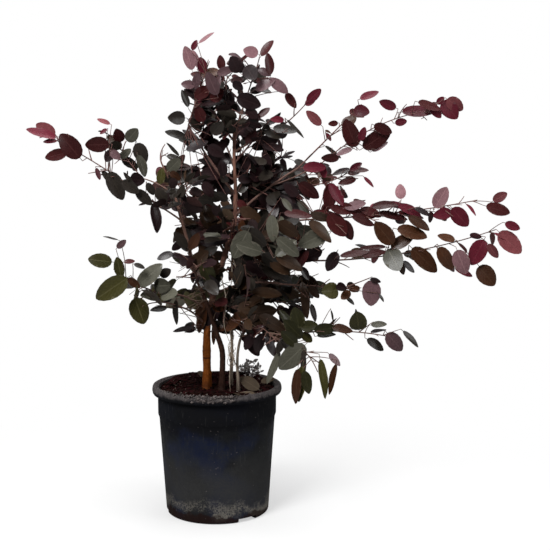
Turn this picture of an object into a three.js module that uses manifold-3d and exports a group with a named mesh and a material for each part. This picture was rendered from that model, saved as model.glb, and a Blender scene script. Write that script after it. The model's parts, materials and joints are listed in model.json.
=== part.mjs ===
// A young fringe flower shrub in a black nursery pot: stems, boughs and leafy sprays.
// Millimetres, +Z up, the viewer on the -Y side. The origin is the centre of the pot's flat underside.
import * as THREE from 'three';
import { mergeVertices } from 'three/addons/utils/BufferGeometryUtils.js';
import Module from 'manifold-3d';

const wasm = await Module();
wasm.setup();

// Clearances
const SEAT_GAP = 0.3;
const FOLIAGE_GAP = 0.5;

// Nursery pot
const POT = {
  height: 219,
  rimRadius: 110,
  rimDrop: 14.5,
  bandRadius: 101.8,
  bandBottom: 167.5,
  wallTopRadius: 98,
  footRadius: 86.3,
  flatRadius: 83,
  wall: 2.2,
  floor: 2.4,
  sides: 36,
};
const DRAIN = { count: 3, firstCompass: 305, width: 36, height: 6.5, innerRadius: 68, roof: 2 };

// Potting mix: flat round the stems, then sloping down to the wall
const MIX = {
  crownHeight: 209,
  crownRadius: 52,
  shoulderHeight: 206.5,
  shoulderRadius: 78,
  edgeHeight: 202,
};

// Limbs and twigs
const STEM_SIDES = 8;
const BOUGH_SIDES = 6;
const TWIG_SIDES = 3;
const LIMB_STEP = 30;
const COLLAR = { swell: 0.35, length: 9 };
const SPINE_STEP = 40;
const SPINE_TIP_RADIUS = 1.1;
const SPINE_SAMPLES = 12;
const LEAST_STEPS = 3;
const SIDE_STEM_RADIUS = 2.2;
const TWIG = { foot: 1.2, tip: 1, every: 3, angle: [43, 61], reach: [0.8, 1.2], shrink: 0.4 };
const TWIG_LEAVES = { gap: 20, turn: 0.5 };
const NODE_GAP = 16;
const FIRST_NODE = 9;
const LAST_NODE = 0.985;

// One leaf, as parts of its own length, and how it stands: ranges that the seeded draws fall in
const LEAF = { width: 0.64, low: 0.3, lowWidth: 0.88, high: 0.72, highWidth: 0.82 };
const LEAF_LENGTH = 54;
const LEAF_HANG = 0.35;
const LEAF_STAND = {
  along: [0.35, 0.7],
  away: 0.75,
  hang: [0.4, 1.6],
  facing: [-60, 60],
  tilt: [0.1, 0.9],
};
const LEAF_SIZE = [0.8, 1.15];
const LEAF_TURNS = 4;
const STALK = { length: 4, width: 1.8, thickness: 1.3 };
const SPACE_OVERLAP = 22;

const UP = new THREE.Vector3(0, 0, 1);
const radians = THREE.MathUtils.degToRad;

// Materials
function finish(color, roughness, metalness = 0) {
  return new THREE.MeshStandardMaterial({ color, roughness, metalness });
}

const FINISHES = {
  pot: finish(0x15161a, 0.45),
  mix: finish(0x2a1a12, 0.95),
  stem: finish(0x8a4b22, 0.7),
  darkStem: finish(0x3a271d, 0.8),
  bough: finish(0x6b443a, 0.7),
  crimson: finish(0x6e1c2e, 0.45),
  burgundy: finish(0x472127, 0.45),
  purple: finish(0x221a22, 0.35),
  bronze: finish(0x4a2a1c, 0.45),
  olive: finish(0x4f5030, 0.5),
  sage: finish(0x6a7260, 0.5),
};

// Solids: a closed three.js geometry becomes a solid, and a solid a geometry again
function solidOf(geometry) {
  const bare = geometry.clone();
  bare.deleteAttribute('normal');
  bare.deleteAttribute('uv');
  const merged = mergeVertices(bare, 1e-4);
  const corners = [];
  for (let face = 0; face < merged.index.count; face += 3) {
    const [a, b, c] = [0, 1, 2].map((step) => merged.index.getX(face + step));
    if (a !== b && b !== c && c !== a) corners.push(a, b, c);
  }
  const vertProperties = new Float32Array(merged.attributes.position.array);
  const mesh = new wasm.Mesh({ numProp: 3, vertProperties, triVerts: new Uint32Array(corners) });
  return new wasm.Manifold(mesh);
}

function geometryOf(solid) {
  const mesh = solid.getMesh();
  const geometry = new THREE.BufferGeometry();
  geometry.setAttribute('position', new THREE.BufferAttribute(new Float32Array(mesh.vertProperties), 3));
  geometry.setIndex(new THREE.BufferAttribute(new Uint32Array(mesh.triVerts), 1));
  geometry.computeVertexNormals();
  return geometry;
}

function largestBody(solid) {
  const bodies = solid.decompose();
  return bodies.reduce((best, body) => (body.volume() > best.volume() ? body : best));
}

// Seeded draws between 0 and 1
function seededDraws(seed) {
  let state = seed >>> 0;
  return () => {
    state = (state + 0x6d2b79f5) >>> 0;
    let mixed = Math.imul(state ^ (state >>> 15), 1 | state);
    mixed = (mixed + Math.imul(mixed ^ (mixed >>> 7), 61 | mixed)) ^ mixed;
    return ((mixed ^ (mixed >>> 14)) >>> 0) / 4294967296;
  };
}

function between(draw, [low, high]) {
  return low + (high - low) * draw();
}

// A tapered tube along a curve: a cylinder whose rings are carried along it
function taperedTube(curve, length, radiusAt, sides, steps) {
  const geometry = new THREE.CylinderGeometry(1, 1, 1, sides, steps);
  const place = geometry.attributes.position;
  const start = curve.getTangentAt(0);
  const reference = Math.abs(start.z) > 0.9 ? new THREE.Vector3(0, 1, 0) : UP;
  for (let i = 0; i < place.count; i += 1) {
    const u = place.getY(i) + 0.5;
    const tangent = curve.getTangentAt(u);
    const across = new THREE.Vector3().crossVectors(reference, tangent).normalize();
    const over = new THREE.Vector3().crossVectors(tangent, across);
    const radius = radiusAt(u * length);
    const point = curve.getPointAt(u)
      .addScaledVector(over, place.getX(i) * radius)
      .addScaledVector(across, place.getZ(i) * radius);
    place.setXYZ(i, point.x, point.y, point.z);
  }
  return solidOf(geometry);
}

// A limb's centre line, from its foot: compass, run and rise to its tip, with a bulge up and to the left
function limbCurve(foot, { compass, spread, rise, arch = 0, bow = 0 }) {
  const heading = new THREE.Vector3(Math.cos(radians(compass)), Math.sin(radians(compass)), 0);
  const left = new THREE.Vector3(-heading.y, heading.x, 0);
  const tip = foot.clone().addScaledVector(heading, spread).addScaledVector(UP, rise);
  const middle = foot.clone().lerp(tip, 0.5).addScaledVector(UP, 2 * arch).addScaledVector(left, 2 * bow);
  return new THREE.QuadraticBezierCurve3(foot, middle, tip);
}

const group = new THREE.Group();
const obstacles = [];
const limbs = new Map();

// Everything that stands already, which a later leaf or twig of another owner keeps clear of
function addObstacle(owner, solid) {
  obstacles.push({ owner, solid, box: solid.boundingBox() });
}

function addPart(name, solid, material) {
  const mesh = new THREE.Mesh(geometryOf(solid), material);
  mesh.name = name;
  group.add(mesh);
  addObstacle(name, solid);
}

// Pot: a turned shell with a rolled rim and a stepped band, and drain notches moulded up into its foot
function potProfile() {
  const { height, rimRadius, rimDrop, bandRadius, bandBottom, wallTopRadius, footRadius } = POT;
  const { flatRadius, wall, floor } = POT;
  return [
    [0, 0], [flatRadius, 0], [footRadius, 3.5], [wallTopRadius, bandBottom - 3],
    [bandRadius - 0.4, bandBottom], [bandRadius, height - rimDrop - 1],
    [rimRadius - 2.5, height - rimDrop], [rimRadius, height - rimDrop + 4],
    [rimRadius, height - 4.5], [rimRadius - 2.8, height - 1], [rimRadius - 6, height],
    [bandRadius - wall, height - 4], [bandRadius - wall - 0.4, bandBottom + 1],
    [wallTopRadius - wall, bandBottom - 4], [footRadius - wall, floor + 3.5],
    [flatRadius - 1.5, floor], [0, floor],
  ].map(([radius, z]) => new THREE.Vector2(radius, z));
}

function turned(profile) {
  const geometry = new THREE.LatheGeometry(profile, POT.sides);
  geometry.rotateX(Math.PI / 2);
  return solidOf(geometry);
}

// A block that stands in the pot's foot at one drain notch
function drainBlock(compass, innerRadius, outerRadius, width, low, high) {
  const geometry = new THREE.BoxGeometry(outerRadius - innerRadius, width, high - low);
  geometry.translate((innerRadius + outerRadius) / 2, 0, (low + high) / 2);
  geometry.rotateZ(radians(compass));
  return solidOf(geometry);
}

const drainCompasses = [];
for (let i = 0; i < DRAIN.count; i += 1) drainCompasses.push(DRAIN.firstCompass + (i * 360) / DRAIN.count);

function buildPot() {
  const profile = potProfile();
  const outside = turned([...profile.slice(0, 11), new THREE.Vector2(0, POT.height)]);
  let pot = turned(profile);
  for (const compass of drainCompasses) {
    const { innerRadius, width, height, roof } = DRAIN;
    const boss = drainBlock(compass, innerRadius - roof, POT.rimRadius, width + 2 * roof, 0, height + roof);
    pot = pot.add(boss.intersect(outside));
    pot = pot.subtract(drainBlock(compass, innerRadius, POT.rimRadius, width, -1, height));
  }
  return pot;
}

function buildMix() {
  const { wall, floor, flatRadius, footRadius, bandBottom, bandRadius, wallTopRadius } = POT;
  const inner = [
    [0, floor], [flatRadius - 1.7, floor], [footRadius - wall, floor + 3.2],
    [wallTopRadius - wall, bandBottom - 4], [bandRadius - wall - 0.5, bandBottom + 1],
    [bandRadius - wall - 0.2, MIX.edgeHeight - SEAT_GAP],
  ].map(([radius, z]) => [Math.max(0, radius - (radius > 0 ? SEAT_GAP + 0.05 : 0)), z + SEAT_GAP]);
  const top = [
    [MIX.shoulderRadius, MIX.shoulderHeight], [MIX.crownRadius, MIX.crownHeight], [0, MIX.crownHeight],
  ];
  let mix = turned([...inner, ...top].map(([radius, z]) => new THREE.Vector2(radius, z)));
  const { innerRadius, width, height, roof } = DRAIN;
  for (const compass of drainCompasses) {
    const inset = innerRadius - roof - SEAT_GAP;
    const wide = width + 2 * (roof + SEAT_GAP);
    mix = mix.subtract(drainBlock(compass, inset, POT.rimRadius, wide, 0, height + roof + SEAT_GAP));
  }
  return mix;
}

// Stems rise from flat cuts on the potting mix, through the places where they bend
const STEM_FOOT = MIX.crownHeight + SEAT_GAP;
const STEMS = [
  {
    name: 'main_stem',
    bends: [[-17, 0, STEM_FOOT], [-16, 0, 320], [-6, 3, 367], [8, 6, 416], [20, 8, 457], [30, 8, 485],
      [33, 8, 545], [31, 8, 600], [31, 8, 661]],
    foot: 6.3, tip: 2, flare: 2.4, material: FINISHES.stem,
  },
  {
    name: 'left_stem',
    bends: [[7, -18, STEM_FOOT], [9, -16, 276], [0, -17, 308], [-17, -18, 360], [-38, -18, 418],
      [-46, -18, 457], [-58, -18, 502], [-71, -18, 549], [-87, -18, 588]],
    foot: 4.2, tip: 1.5, flare: 1.6, material: FINISHES.darkStem,
  },
  {
    name: 'back_stem',
    bends: [[24, 15, STEM_FOOT], [26, 18, 273], [27, 22, 316], [37, 28, 358], [39, 35, 392], [32, 45, 429]],
    foot: 2.8, tip: 1.5, flare: 1.2, material: FINISHES.darkStem,
  },
  {
    name: 'front_stem',
    bends: [[36, -25, STEM_FOOT], [35, -30, 278], [43, -41, 309], [66, -55, 332],
      [103, -66, 332], [136, -75, 317]],
    foot: 2.6, tip: 1.4, flare: 1.2, material: FINISHES.darkStem,
  },
];
const FLARE_HEIGHT = 16;

function growStem({ name, bends, foot, tip, flare, material }) {
  const curve = new THREE.CatmullRomCurve3(bends.map((bend) => new THREE.Vector3(...bend)));
  const length = curve.getLength();
  const radiusAt = (along) => foot + (tip - foot) * (along / length) + flare * Math.exp(-along / FLARE_HEIGHT);
  const steps = Math.round(length / LIMB_STEP);
  let solid = taperedTube(curve, length, radiusAt, STEM_SIDES, steps);
  const below = new THREE.BoxGeometry(POT.rimRadius, POT.rimRadius, 20);
  below.translate(bends[0][0], bends[0][1], STEM_FOOT - 10);
  solid = solid.subtract(solidOf(below));
  limbs.set(name, { curve, length, radiusAt, sides: STEM_SIDES, steps });
  addPart(name, solid, material);
}

// The same limb a little thicker, to cut what meets its side
function clearanceOf(limb) {
  const radiusAt = (along) => limb.radiusAt(along) + SEAT_GAP;
  return taperedTube(limb.curve, limb.length, radiusAt, limb.sides, limb.steps);
}

// Boughs leave the side of their parent limb; each is one tapering limb
const BOUGHS = [
  { name: 'left_upper_bough', from: 'left_stem', at: 0.76, compass: 195, spread: 38, rise: 25, arch: 1 },
  { name: 'left_crown_bough', from: 'left_stem', at: 0.87, compass: 142, spread: 70, rise: 27,
    arch: 3, bow: -3 },
  { name: 'top_left_bough', from: 'main_stem', at: 0.74, compass: 190, spread: 79, rise: 114,
    arch: -7, bow: 3 },
  { name: 'top_right_fork', from: 'main_stem', at: 0.93, compass: 334, spread: 18, rise: 60 },
  { name: 'top_right_bough', from: 'main_stem', at: 0.89, compass: 350, spread: 44, rise: 24, arch: 2 },
  { name: 'right_upper_bough', from: 'main_stem', at: 0.66, compass: 342, spread: 109, rise: 81,
    arch: 4, bow: -4 },
  { name: 'right_outer_bough', from: 'right_upper_bough', at: 0.62, compass: 336, spread: 87,
    rise: 37, arch: -3 },
  { name: 'mid_right_bough', from: 'right_upper_bough', at: 0.31, compass: 18, spread: 83, rise: 26 },
  { name: 'right_long_bough', from: 'main_stem', at: 0.605, compass: 339, spread: 147, rise: 23,
    arch: 3, bow: -3 },
  { name: 'right_lower_bough', from: 'main_stem', at: 0.55, compass: 329, spread: 134, rise: -20, arch: 3 },
  { name: 'low_right_bough', from: 'main_stem', at: 0.36, compass: 335, spread: 126, rise: 24,
    arch: 11, bow: -6 },
  { name: 'front_right_bough', from: 'front_stem', at: 0.47, compass: 316, spread: 118, rise: -10,
    arch: 14 },
  { name: 'low_left_bough', from: 'main_stem', at: 0.29, compass: 221, spread: 94, rise: 42,
    arch: 10, bow: 4 },
  { name: 'low_left_lower_bough', from: 'main_stem', at: 0.24, compass: 226, spread: 63, rise: 41, arch: 6 },
  { name: 'back_left_bough', from: 'main_stem', at: 0.52, compass: 116, spread: 110, rise: 70, arch: 2 },
  { name: 'back_right_bough', from: 'main_stem', at: 0.69, compass: 54, spread: 128, rise: 38, arch: 4 },
  { name: 'back_upper_bough', from: 'main_stem', at: 0.84, compass: 104, spread: 79, rise: 51 },
];
const BOUGH_FOOT = 0.62;
const BOUGH_TIP = 1.4;
const BOUGH_TAPER = 0.0075;

function growBough(row) {
  const parent = limbs.get(row.from);
  const curve = limbCurve(parent.curve.getPointAt(row.at), row);
  const length = curve.getLength();
  const thickest = parent.radiusAt(row.at * parent.length) * BOUGH_FOOT;
  const foot = Math.min(thickest, BOUGH_TIP + length * BOUGH_TAPER);
  const tip = Math.min(BOUGH_TIP, foot * 0.85);
  const radiusAt = (along) => foot + (tip - foot) * (along / length)
    + foot * COLLAR.swell * Math.exp(-along / COLLAR.length);
  const steps = Math.max(LEAST_STEPS, Math.round(length / LIMB_STEP));
  const limb = { curve, length, radiusAt, sides: BOUGH_SIDES, steps };
  const solid = taperedTube(curve, length, radiusAt, BOUGH_SIDES, steps).subtract(clearanceOf(parent));
  limbs.set(row.name, limb);
  addPart(row.name, largestBody(solid), FINISHES.bough);
}

// Sprays: the masses of foliage, each grown from one stem on a bough's tip or on the side of a limb
// Leaves of a flat spray stand in two rows, those of a round one turn about its stem
const FLAT = { turn: Math.PI, jitter: 0.9 };
const ROUND = { turn: radians(137.5), jitter: 0.3 };

// The side that a spray's leaves face: the viewer's, or the back
const FRONT = -90;
const BACK = 90;

const SPRAYS = [
  { name: 'left_outer_spray', from: 'left_upper_bough', compass: 190, spread: 165, rise: 108, arch: 4,
    bow: 7, twig: 48, hang: 0.2, tint: 'burgundy' },
  { name: 'left_crown_spray', from: 'left_crown_bough', compass: 160, spread: 50, rise: 66, arch: -4,
    twig: 40, gap: 11, tint: 'purple' },
  { name: 'left_tip_spray', from: 'left_stem', compass: 76, spread: 14, rise: 36, bow: 6, twig: 28, gap: 12,
    tint: 'purple' },
  { name: 'top_left_spray', from: 'top_left_bough', compass: 350, spread: 36, rise: 104, bow: -3, twig: 32,
    gap: 11, form: ROUND, leaf: 46, tint: 'burgundy' },
  { name: 'crown_left_spray', from: 'main_stem', compass: 130, spread: 16, rise: 76, bow: 9, twig: 44,
    gap: 7, form: ROUND, tint: 'purple' },
  { name: 'crown_right_spray', from: 'top_right_fork', compass: 343, spread: 24, rise: 66, twig: 40,
    gap: 10, form: ROUND, leaf: 48, tint: 'burgundy' },
  { name: 'top_right_spray', from: 'top_right_bough', compass: 353, spread: 74, rise: 54, arch: -7,
    twig: 40, gap: 14, tint: 'purple' },
  { name: 'right_upper_spray', from: 'right_upper_bough', compass: 355, spread: 104, rise: 104, twig: 42,
    gap: 15, hang: 0.15, tint: 'crimson' },
  { name: 'right_outer_spray', from: 'right_outer_bough', compass: 356, spread: 182, rise: 84, arch: 18,
    bow: -6, twig: 42, gap: 17, hang: 0.1, tint: 'crimson' },
  { name: 'mid_right_spray', from: 'mid_right_bough', compass: 8, spread: 84, rise: 18, arch: -8, twig: 44,
    gap: 10, tint: 'burgundy' },
  { name: 'right_long_spray', from: 'right_long_bough', compass: 352, spread: 260, rise: 32, arch: -5,
    bow: -6, twig: 46, gap: 17, tint: 'crimson' },
  { name: 'right_lower_spray', from: 'right_lower_bough', compass: 352, spread: 316, rise: 52, arch: -14,
    bow: -7, twig: 46, gap: 18, tint: 'crimson' },
  { name: 'low_right_spray', from: 'low_right_bough', compass: 347, spread: 118, rise: -5, twig: 38,
    gap: 13, tint: 'sage' },
  { name: 'low_right_tip_spray', from: 'front_stem', compass: 349, spread: 148, rise: -3, arch: 6, twig: 38,
    gap: 15, hang: 0.05, tint: 'olive' },
  { name: 'front_right_spray', from: 'front_right_bough', compass: 316, spread: 44, rise: -28, arch: 12,
    twig: 38, gap: 8, hang: 1.4, tint: 'bronze' },
  { name: 'front_low_spray', from: 'front_stem', at: 0.55, compass: 296, spread: 100, rise: -6, arch: 12,
    twig: 46, gap: 11, leaf: 58, hang: 0.6, tint: 'purple' },
  { name: 'low_left_spray', from: 'low_left_bough', compass: 212, spread: 92, rise: 46, arch: -6, twig: 46,
    gap: 13, leaf: 58, hang: 0.05, tint: 'olive' },
  { name: 'low_left_lower_spray', from: 'low_left_lower_bough', compass: 216, spread: 76, rise: 8, arch: 7,
    twig: 36, gap: 13, hang: 0.1, tint: 'sage' },
  { name: 'low_centre_spray', from: 'main_stem', at: 0.31, compass: 304, spread: 84, rise: 6, arch: 6,
    twig: 44, gap: 9, leaf: 58, tint: 'bronze' },
  { name: 'low_right_inner_spray', from: 'main_stem', at: 0.33, compass: 356, spread: 150, rise: -8,
    arch: 12, twig: 48, gap: 12, leaf: 58, tint: 'olive' },
  { name: 'centre_left_spray', from: 'main_stem', at: 0.79, compass: 150, spread: 70, rise: 60, arch: -8,
    twig: 54, gap: 7, leaf: 62, form: ROUND, tint: 'purple' },
  { name: 'centre_low_left_spray', from: 'main_stem', at: 0.47, compass: 225, spread: 74, rise: 0, arch: 14,
    twig: 46, gap: 8, leaf: 58, tint: 'bronze' },
  { name: 'centre_right_spray', from: 'main_stem', at: 0.8, compass: 17, spread: 92, rise: 40, arch: -6,
    twig: 54, gap: 7, leaf: 62, form: ROUND, tint: 'purple' },
  { name: 'centre_upper_right_spray', from: 'main_stem', at: 0.76, compass: 356, spread: 84, rise: 22,
    arch: -5, twig: 48, gap: 8, leaf: 60, form: ROUND, tint: 'purple' },
  { name: 'centre_mid_spray', from: 'main_stem', at: 0.58, compass: 150, spread: 96, rise: 34, arch: -6,
    twig: 52, gap: 8, leaf: 62, form: ROUND, tint: 'bronze' },
  { name: 'centre_front_spray', from: 'main_stem', at: 0.57, compass: 308, spread: 132, rise: 8, bow: -11,
    twig: 52, gap: 10, leaf: 62, tint: 'sage' },
  { name: 'centre_low_right_spray', from: 'back_stem', at: 0.88, compass: 343, spread: 125, rise: -12,
    twig: 50, gap: 11, leaf: 58, tint: 'bronze' },
  { name: 'centre_back_spray', from: 'main_stem', at: 0.68, compass: 32, spread: 110, rise: 26, twig: 56,
    gap: 8, leaf: 64, form: ROUND, tint: 'purple' },
  { name: 'back_left_spray', from: 'back_left_bough', compass: 113, spread: 130, rise: 60, twig: 54,
    gap: 19, leaf: 60, face: BACK, tint: 'burgundy' },
  { name: 'back_right_spray', from: 'back_right_bough', compass: 61, spread: 150, rise: 22, twig: 54,
    gap: 20, leaf: 60, face: BACK, tint: 'burgundy' },
  { name: 'back_upper_spray', from: 'back_upper_bough', compass: 103, spread: 84, rise: 60, twig: 46,
    gap: 16, leaf: 60, face: BACK, tint: 'purple' },
  { name: 'back_low_left_spray', from: 'main_stem', at: 0.35, compass: 104, spread: 190, rise: 40, twig: 54,
    gap: 20, leaf: 60, face: BACK, tint: 'olive' },
  { name: 'back_low_right_spray', from: 'back_stem', at: 0.69, compass: 58, spread: 190, rise: 24, twig: 54,
    gap: 20, leaf: 60, face: BACK, tint: 'sage' },
  { name: 'back_mid_spray', from: 'back_stem', compass: 88, spread: 170, rise: 90, twig: 50, gap: 20,
    leaf: 60, face: BACK, tint: 'bronze' },
];

// A stem that carries on from a limb's tip is cut square to the limb, just clear of it
function seatedOnTip(stem, parent) {
  const along = parent.curve.getTangentAt(1);
  const reach = parent.curve.getPointAt(1).dot(along) + SEAT_GAP;
  return stem.trimByPlane(along.toArray(), reach);
}

// Each spray's stem, worked out first so that every spray knows its neighbours' space
function spineOf(row, index) {
  const parent = limbs.get(row.from);
  const at = row.at ?? 1;
  const onTip = at === 1;
  const foot = parent.curve.getPointAt(at);
  const curve = limbCurve(foot, row);
  const parentRadius = parent.radiusAt(at * parent.length);
  const radius = onTip ? parentRadius : Math.min(SIDE_STEM_RADIUS, parentRadius * BOUGH_FOOT);
  const length = curve.getLength();
  const radiusAt = (along) => radius + (SPINE_TIP_RADIUS - radius) * (along / length);
  const steps = Math.max(LEAST_STEPS, Math.round(length / SPINE_STEP));
  let stem = taperedTube(curve, length, radiusAt, TWIG_SIDES, steps);
  stem = onTip ? seatedOnTip(stem, parent) : largestBody(stem.subtract(clearanceOf(parent)));
  addObstacle(row.name, stem);
  return { ...row, index, curve, length, stem, samples: curve.getSpacedPoints(SPINE_SAMPLES) };
}

function distanceToSpine(point, spine) {
  return Math.min(...spine.samples.map((sample) => sample.distanceTo(point)));
}

function inOwnSpace(points, own, spines) {
  return points.every((point) => {
    const here = distanceToSpine(point, own);
    return spines.every((other) => other === own || distanceToSpine(point, other) + SPACE_OVERLAP > here);
  });
}

function boxesMeet(a, b) {
  const overlap = (axis) => a.min[axis] - FOLIAGE_GAP < b.max[axis] && b.min[axis] - FOLIAGE_GAP < a.max[axis];
  return [0, 1, 2].every(overlap);
}

function touchesAnother(solid, owner) {
  const box = solid.boundingBox();
  return obstacles.some((other) => other.owner !== owner && boxesMeet(box, other.box)
    && other.solid.minGap(solid, 2 * FOLIAGE_GAP) < FOLIAGE_GAP);
}

// A leaf: an oval outline on a short stalk, whose foot lies in the middle of its twig
function leafOutline(root, along, normal, size) {
  const across = new THREE.Vector3().crossVectors(normal, along).normalize();
  const at = (reach, side, lift = 0) => root.clone()
    .addScaledVector(along, reach).addScaledVector(across, side).addScaledVector(normal, lift);
  const low = (size * LEAF.width * LEAF.lowWidth) / 2;
  const high = (size * LEAF.width * LEAF.highWidth) / 2;
  const rim = [
    root, at(STALK.length, STALK.width / 2), at(size * LEAF.low, low), at(size * LEAF.high, high), at(size, 0),
    at(size * LEAF.high, -high), at(size * LEAF.low, -low), at(STALK.length, -STALK.width / 2),
  ];
  return { rim, top: at(STALK.length, 0, STALK.thickness) };
}

// The upper face fans out from the thick end of the stalk to the outline; the underside is flat
function leafSolid({ rim, top }) {
  const corners = [];
  const [root, first] = rim;
  rim.forEach((point, i) => {
    const next = rim[(i + 1) % rim.length];
    corners.push(top, next, point);
    if (i > 1 && next !== root) corners.push(first, point, next);
  });
  corners.push(rim.at(-1), root, first);
  return solidOf(new THREE.BufferGeometry().setFromPoints(corners));
}

// Each leaf points along and away from its twig, hangs a little, and turns its face about its spray's side
function leafFrame(tangent, side, row, draw) {
  const along = tangent.clone().multiplyScalar(between(draw, LEAF_STAND.along))
    .addScaledVector(side, LEAF_STAND.away)
    .addScaledVector(UP, -(row.hang ?? LEAF_HANG) * between(draw, LEAF_STAND.hang))
    .normalize();
  const facing = radians((row.face ?? FRONT) + between(draw, LEAF_STAND.facing));
  const normal = new THREE.Vector3(Math.cos(facing), Math.sin(facing), between(draw, LEAF_STAND.tilt));
  normal.addScaledVector(along, -normal.dot(along)).normalize();
  return { along, normal, size: (row.leaf ?? LEAF_LENGTH) * between(draw, LEAF_SIZE) };
}

function sideOf(tangent, turn) {
  const reference = Math.abs(tangent.z) > 0.85 ? new THREE.Vector3(1, 0, 0) : UP;
  const across = new THREE.Vector3().crossVectors(reference, tangent).normalize();
  return across.applyAxisAngle(tangent, turn);
}

// Every node has draws of its own, so a leaf that is skipped changes no other
function drawsFor(spray, node, leaf) {
  return seededDraws(10000 * (spray.index + 1) + 100 * node + leaf);
}

function meets(a, b) {
  return boxesMeet(a.boundingBox(), b.boundingBox()) && !a.intersect(b).isEmpty();
}

// A leaf is turned up to a few times to find room, and left out where there is none
function growLeaf(place, carrier, spray, spines, grown, draw) {
  for (let turn = 0; turn < LEAF_TURNS; turn += 1) {
    const { along, normal, size } = leafFrame(place.tangent, place.side, spray, draw);
    const leaf = leafOutline(place.root, along, normal, size);
    if (inOwnSpace(leaf.rim.slice(2, 7), spray, spines)) {
      const solid = leafSolid(leaf);
      const crossed = grown.some((piece) => piece !== carrier && meets(piece, solid));
      if (!crossed && !touchesAnother(solid, spray.name)) {
        grown.push(solid);
        return;
      }
    }
  }
}

function growTwig(foot, heading, reach, node, spray, spines, grown) {
  const tip = foot.clone().addScaledVector(heading, reach);
  const line = new THREE.LineCurve3(foot, tip);
  if (!inOwnSpace([tip, line.getPoint(0.6)], spray, spines)) return;
  const radiusAt = (along) => TWIG.foot + (TWIG.tip - TWIG.foot) * (along / reach);
  const wood = taperedTube(line, reach, radiusAt, TWIG_SIDES, 1);
  if (touchesAnother(wood, spray.name) || grown.slice(1).some((piece) => meets(piece, wood))) return;
  grown.push(wood);
  const count = Math.max(1, Math.round(reach / TWIG_LEAVES.gap));
  for (let i = 1; i <= count; i += 1) {
    const draw = drawsFor(spray, node, i);
    const end = i === count;
    const root = line.getPoint(Math.min(i / count, LAST_NODE));
    const turn = i * Math.PI + between(draw, [-TWIG_LEAVES.turn, TWIG_LEAVES.turn]);
    const side = end ? heading : sideOf(heading, turn);
    growLeaf({ root, tangent: heading, side }, wood, spray, spines, grown, draw);
  }
}

// Leaves and side twigs stand in turn along the spray's own stem, with a last leaf on its tip
function growSpray(spray, spines) {
  const grown = [spray.stem];
  const nodes = Math.round((spray.length - FIRST_NODE) / (spray.gap ?? NODE_GAP));
  const { turn, jitter } = spray.form ?? FLAT;
  for (let i = 0; i <= nodes; i += 1) {
    const draw = drawsFor(spray, i, 0);
    const u = Math.min((FIRST_NODE + (spray.length - FIRST_NODE) * (i / nodes)) / spray.length, LAST_NODE);
    const root = spray.curve.getPointAt(u);
    const tangent = spray.curve.getTangentAt(u);
    const side = sideOf(tangent, i * turn + between(draw, [-jitter, jitter]));
    if (i < nodes && i % TWIG.every === 1) {
      const angle = radians(between(draw, TWIG.angle));
      const heading = tangent.clone().multiplyScalar(Math.cos(angle)).addScaledVector(side, Math.sin(angle));
      const reach = spray.twig * (1 - TWIG.shrink * u) * between(draw, TWIG.reach);
      growTwig(root, heading, reach, i, spray, spines, grown);
    } else {
      const place = { root, tangent, side: i === nodes ? tangent : side };
      growLeaf(place, spray.stem, spray, spines, grown, draw);
    }
  }
  addPart(spray.name, largestBody(wasm.Manifold.union(grown)), FINISHES[spray.tint]);
}

addPart('pot', buildPot(), FINISHES.pot);
addPart('potting_mix', buildMix(), FINISHES.mix);
STEMS.forEach(growStem);
BOUGHS.forEach(growBough);
const spines = SPRAYS.map(spineOf);
spines.forEach((spray) => growSpray(spray, spines));

export default group;
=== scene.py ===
"""Looks for a young potted fringe flower: bark, twigs, leaves, potting mix and a scuffed nursery pot.

Lengths are millimetres in the tables and fields of the plant and the pot, and metres in the finishes, the
lamps and the meshes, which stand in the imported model's frame: +Z up, the viewer on the -Y side, the origin
under the pot's centre. A share runs from 0 to 1.
"""
from __future__ import annotations

import json
import logging
import math
from collections.abc import Callable, Sequence
from dataclasses import dataclass, field, replace
from enum import Enum

import bpy
import numpy as np
from bpy.types import Material, Node, NodeSocket, NodeTree, Object
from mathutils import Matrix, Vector, noise
from mathutils.kdtree import KDTree

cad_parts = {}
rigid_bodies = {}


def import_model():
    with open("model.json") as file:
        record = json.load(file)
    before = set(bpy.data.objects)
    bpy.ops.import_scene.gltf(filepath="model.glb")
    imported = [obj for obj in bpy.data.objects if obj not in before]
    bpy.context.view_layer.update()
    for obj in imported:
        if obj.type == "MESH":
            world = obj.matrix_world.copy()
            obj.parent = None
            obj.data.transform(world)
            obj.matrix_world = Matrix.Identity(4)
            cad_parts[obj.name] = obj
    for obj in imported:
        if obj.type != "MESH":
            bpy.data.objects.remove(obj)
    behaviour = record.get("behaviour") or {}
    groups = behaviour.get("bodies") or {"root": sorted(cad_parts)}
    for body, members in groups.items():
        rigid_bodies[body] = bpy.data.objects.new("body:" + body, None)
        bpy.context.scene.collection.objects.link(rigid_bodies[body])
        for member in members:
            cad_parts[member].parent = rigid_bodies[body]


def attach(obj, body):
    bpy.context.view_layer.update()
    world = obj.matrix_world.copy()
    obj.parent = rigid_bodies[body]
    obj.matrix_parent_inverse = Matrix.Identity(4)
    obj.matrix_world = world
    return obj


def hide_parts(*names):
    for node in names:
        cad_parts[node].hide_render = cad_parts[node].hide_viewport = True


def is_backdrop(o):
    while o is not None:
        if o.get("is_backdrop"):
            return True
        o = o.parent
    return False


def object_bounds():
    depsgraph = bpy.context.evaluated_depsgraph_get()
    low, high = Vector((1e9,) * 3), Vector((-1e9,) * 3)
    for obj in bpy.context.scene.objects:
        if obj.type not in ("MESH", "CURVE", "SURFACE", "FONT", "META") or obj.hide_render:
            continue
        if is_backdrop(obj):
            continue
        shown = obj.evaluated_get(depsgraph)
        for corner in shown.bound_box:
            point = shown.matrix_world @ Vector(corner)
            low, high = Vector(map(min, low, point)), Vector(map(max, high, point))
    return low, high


LOG = logging.getLogger("fringe_flower")
MM = 0.001
UP = np.array([0.0, 0.0, 1.0])

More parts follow.
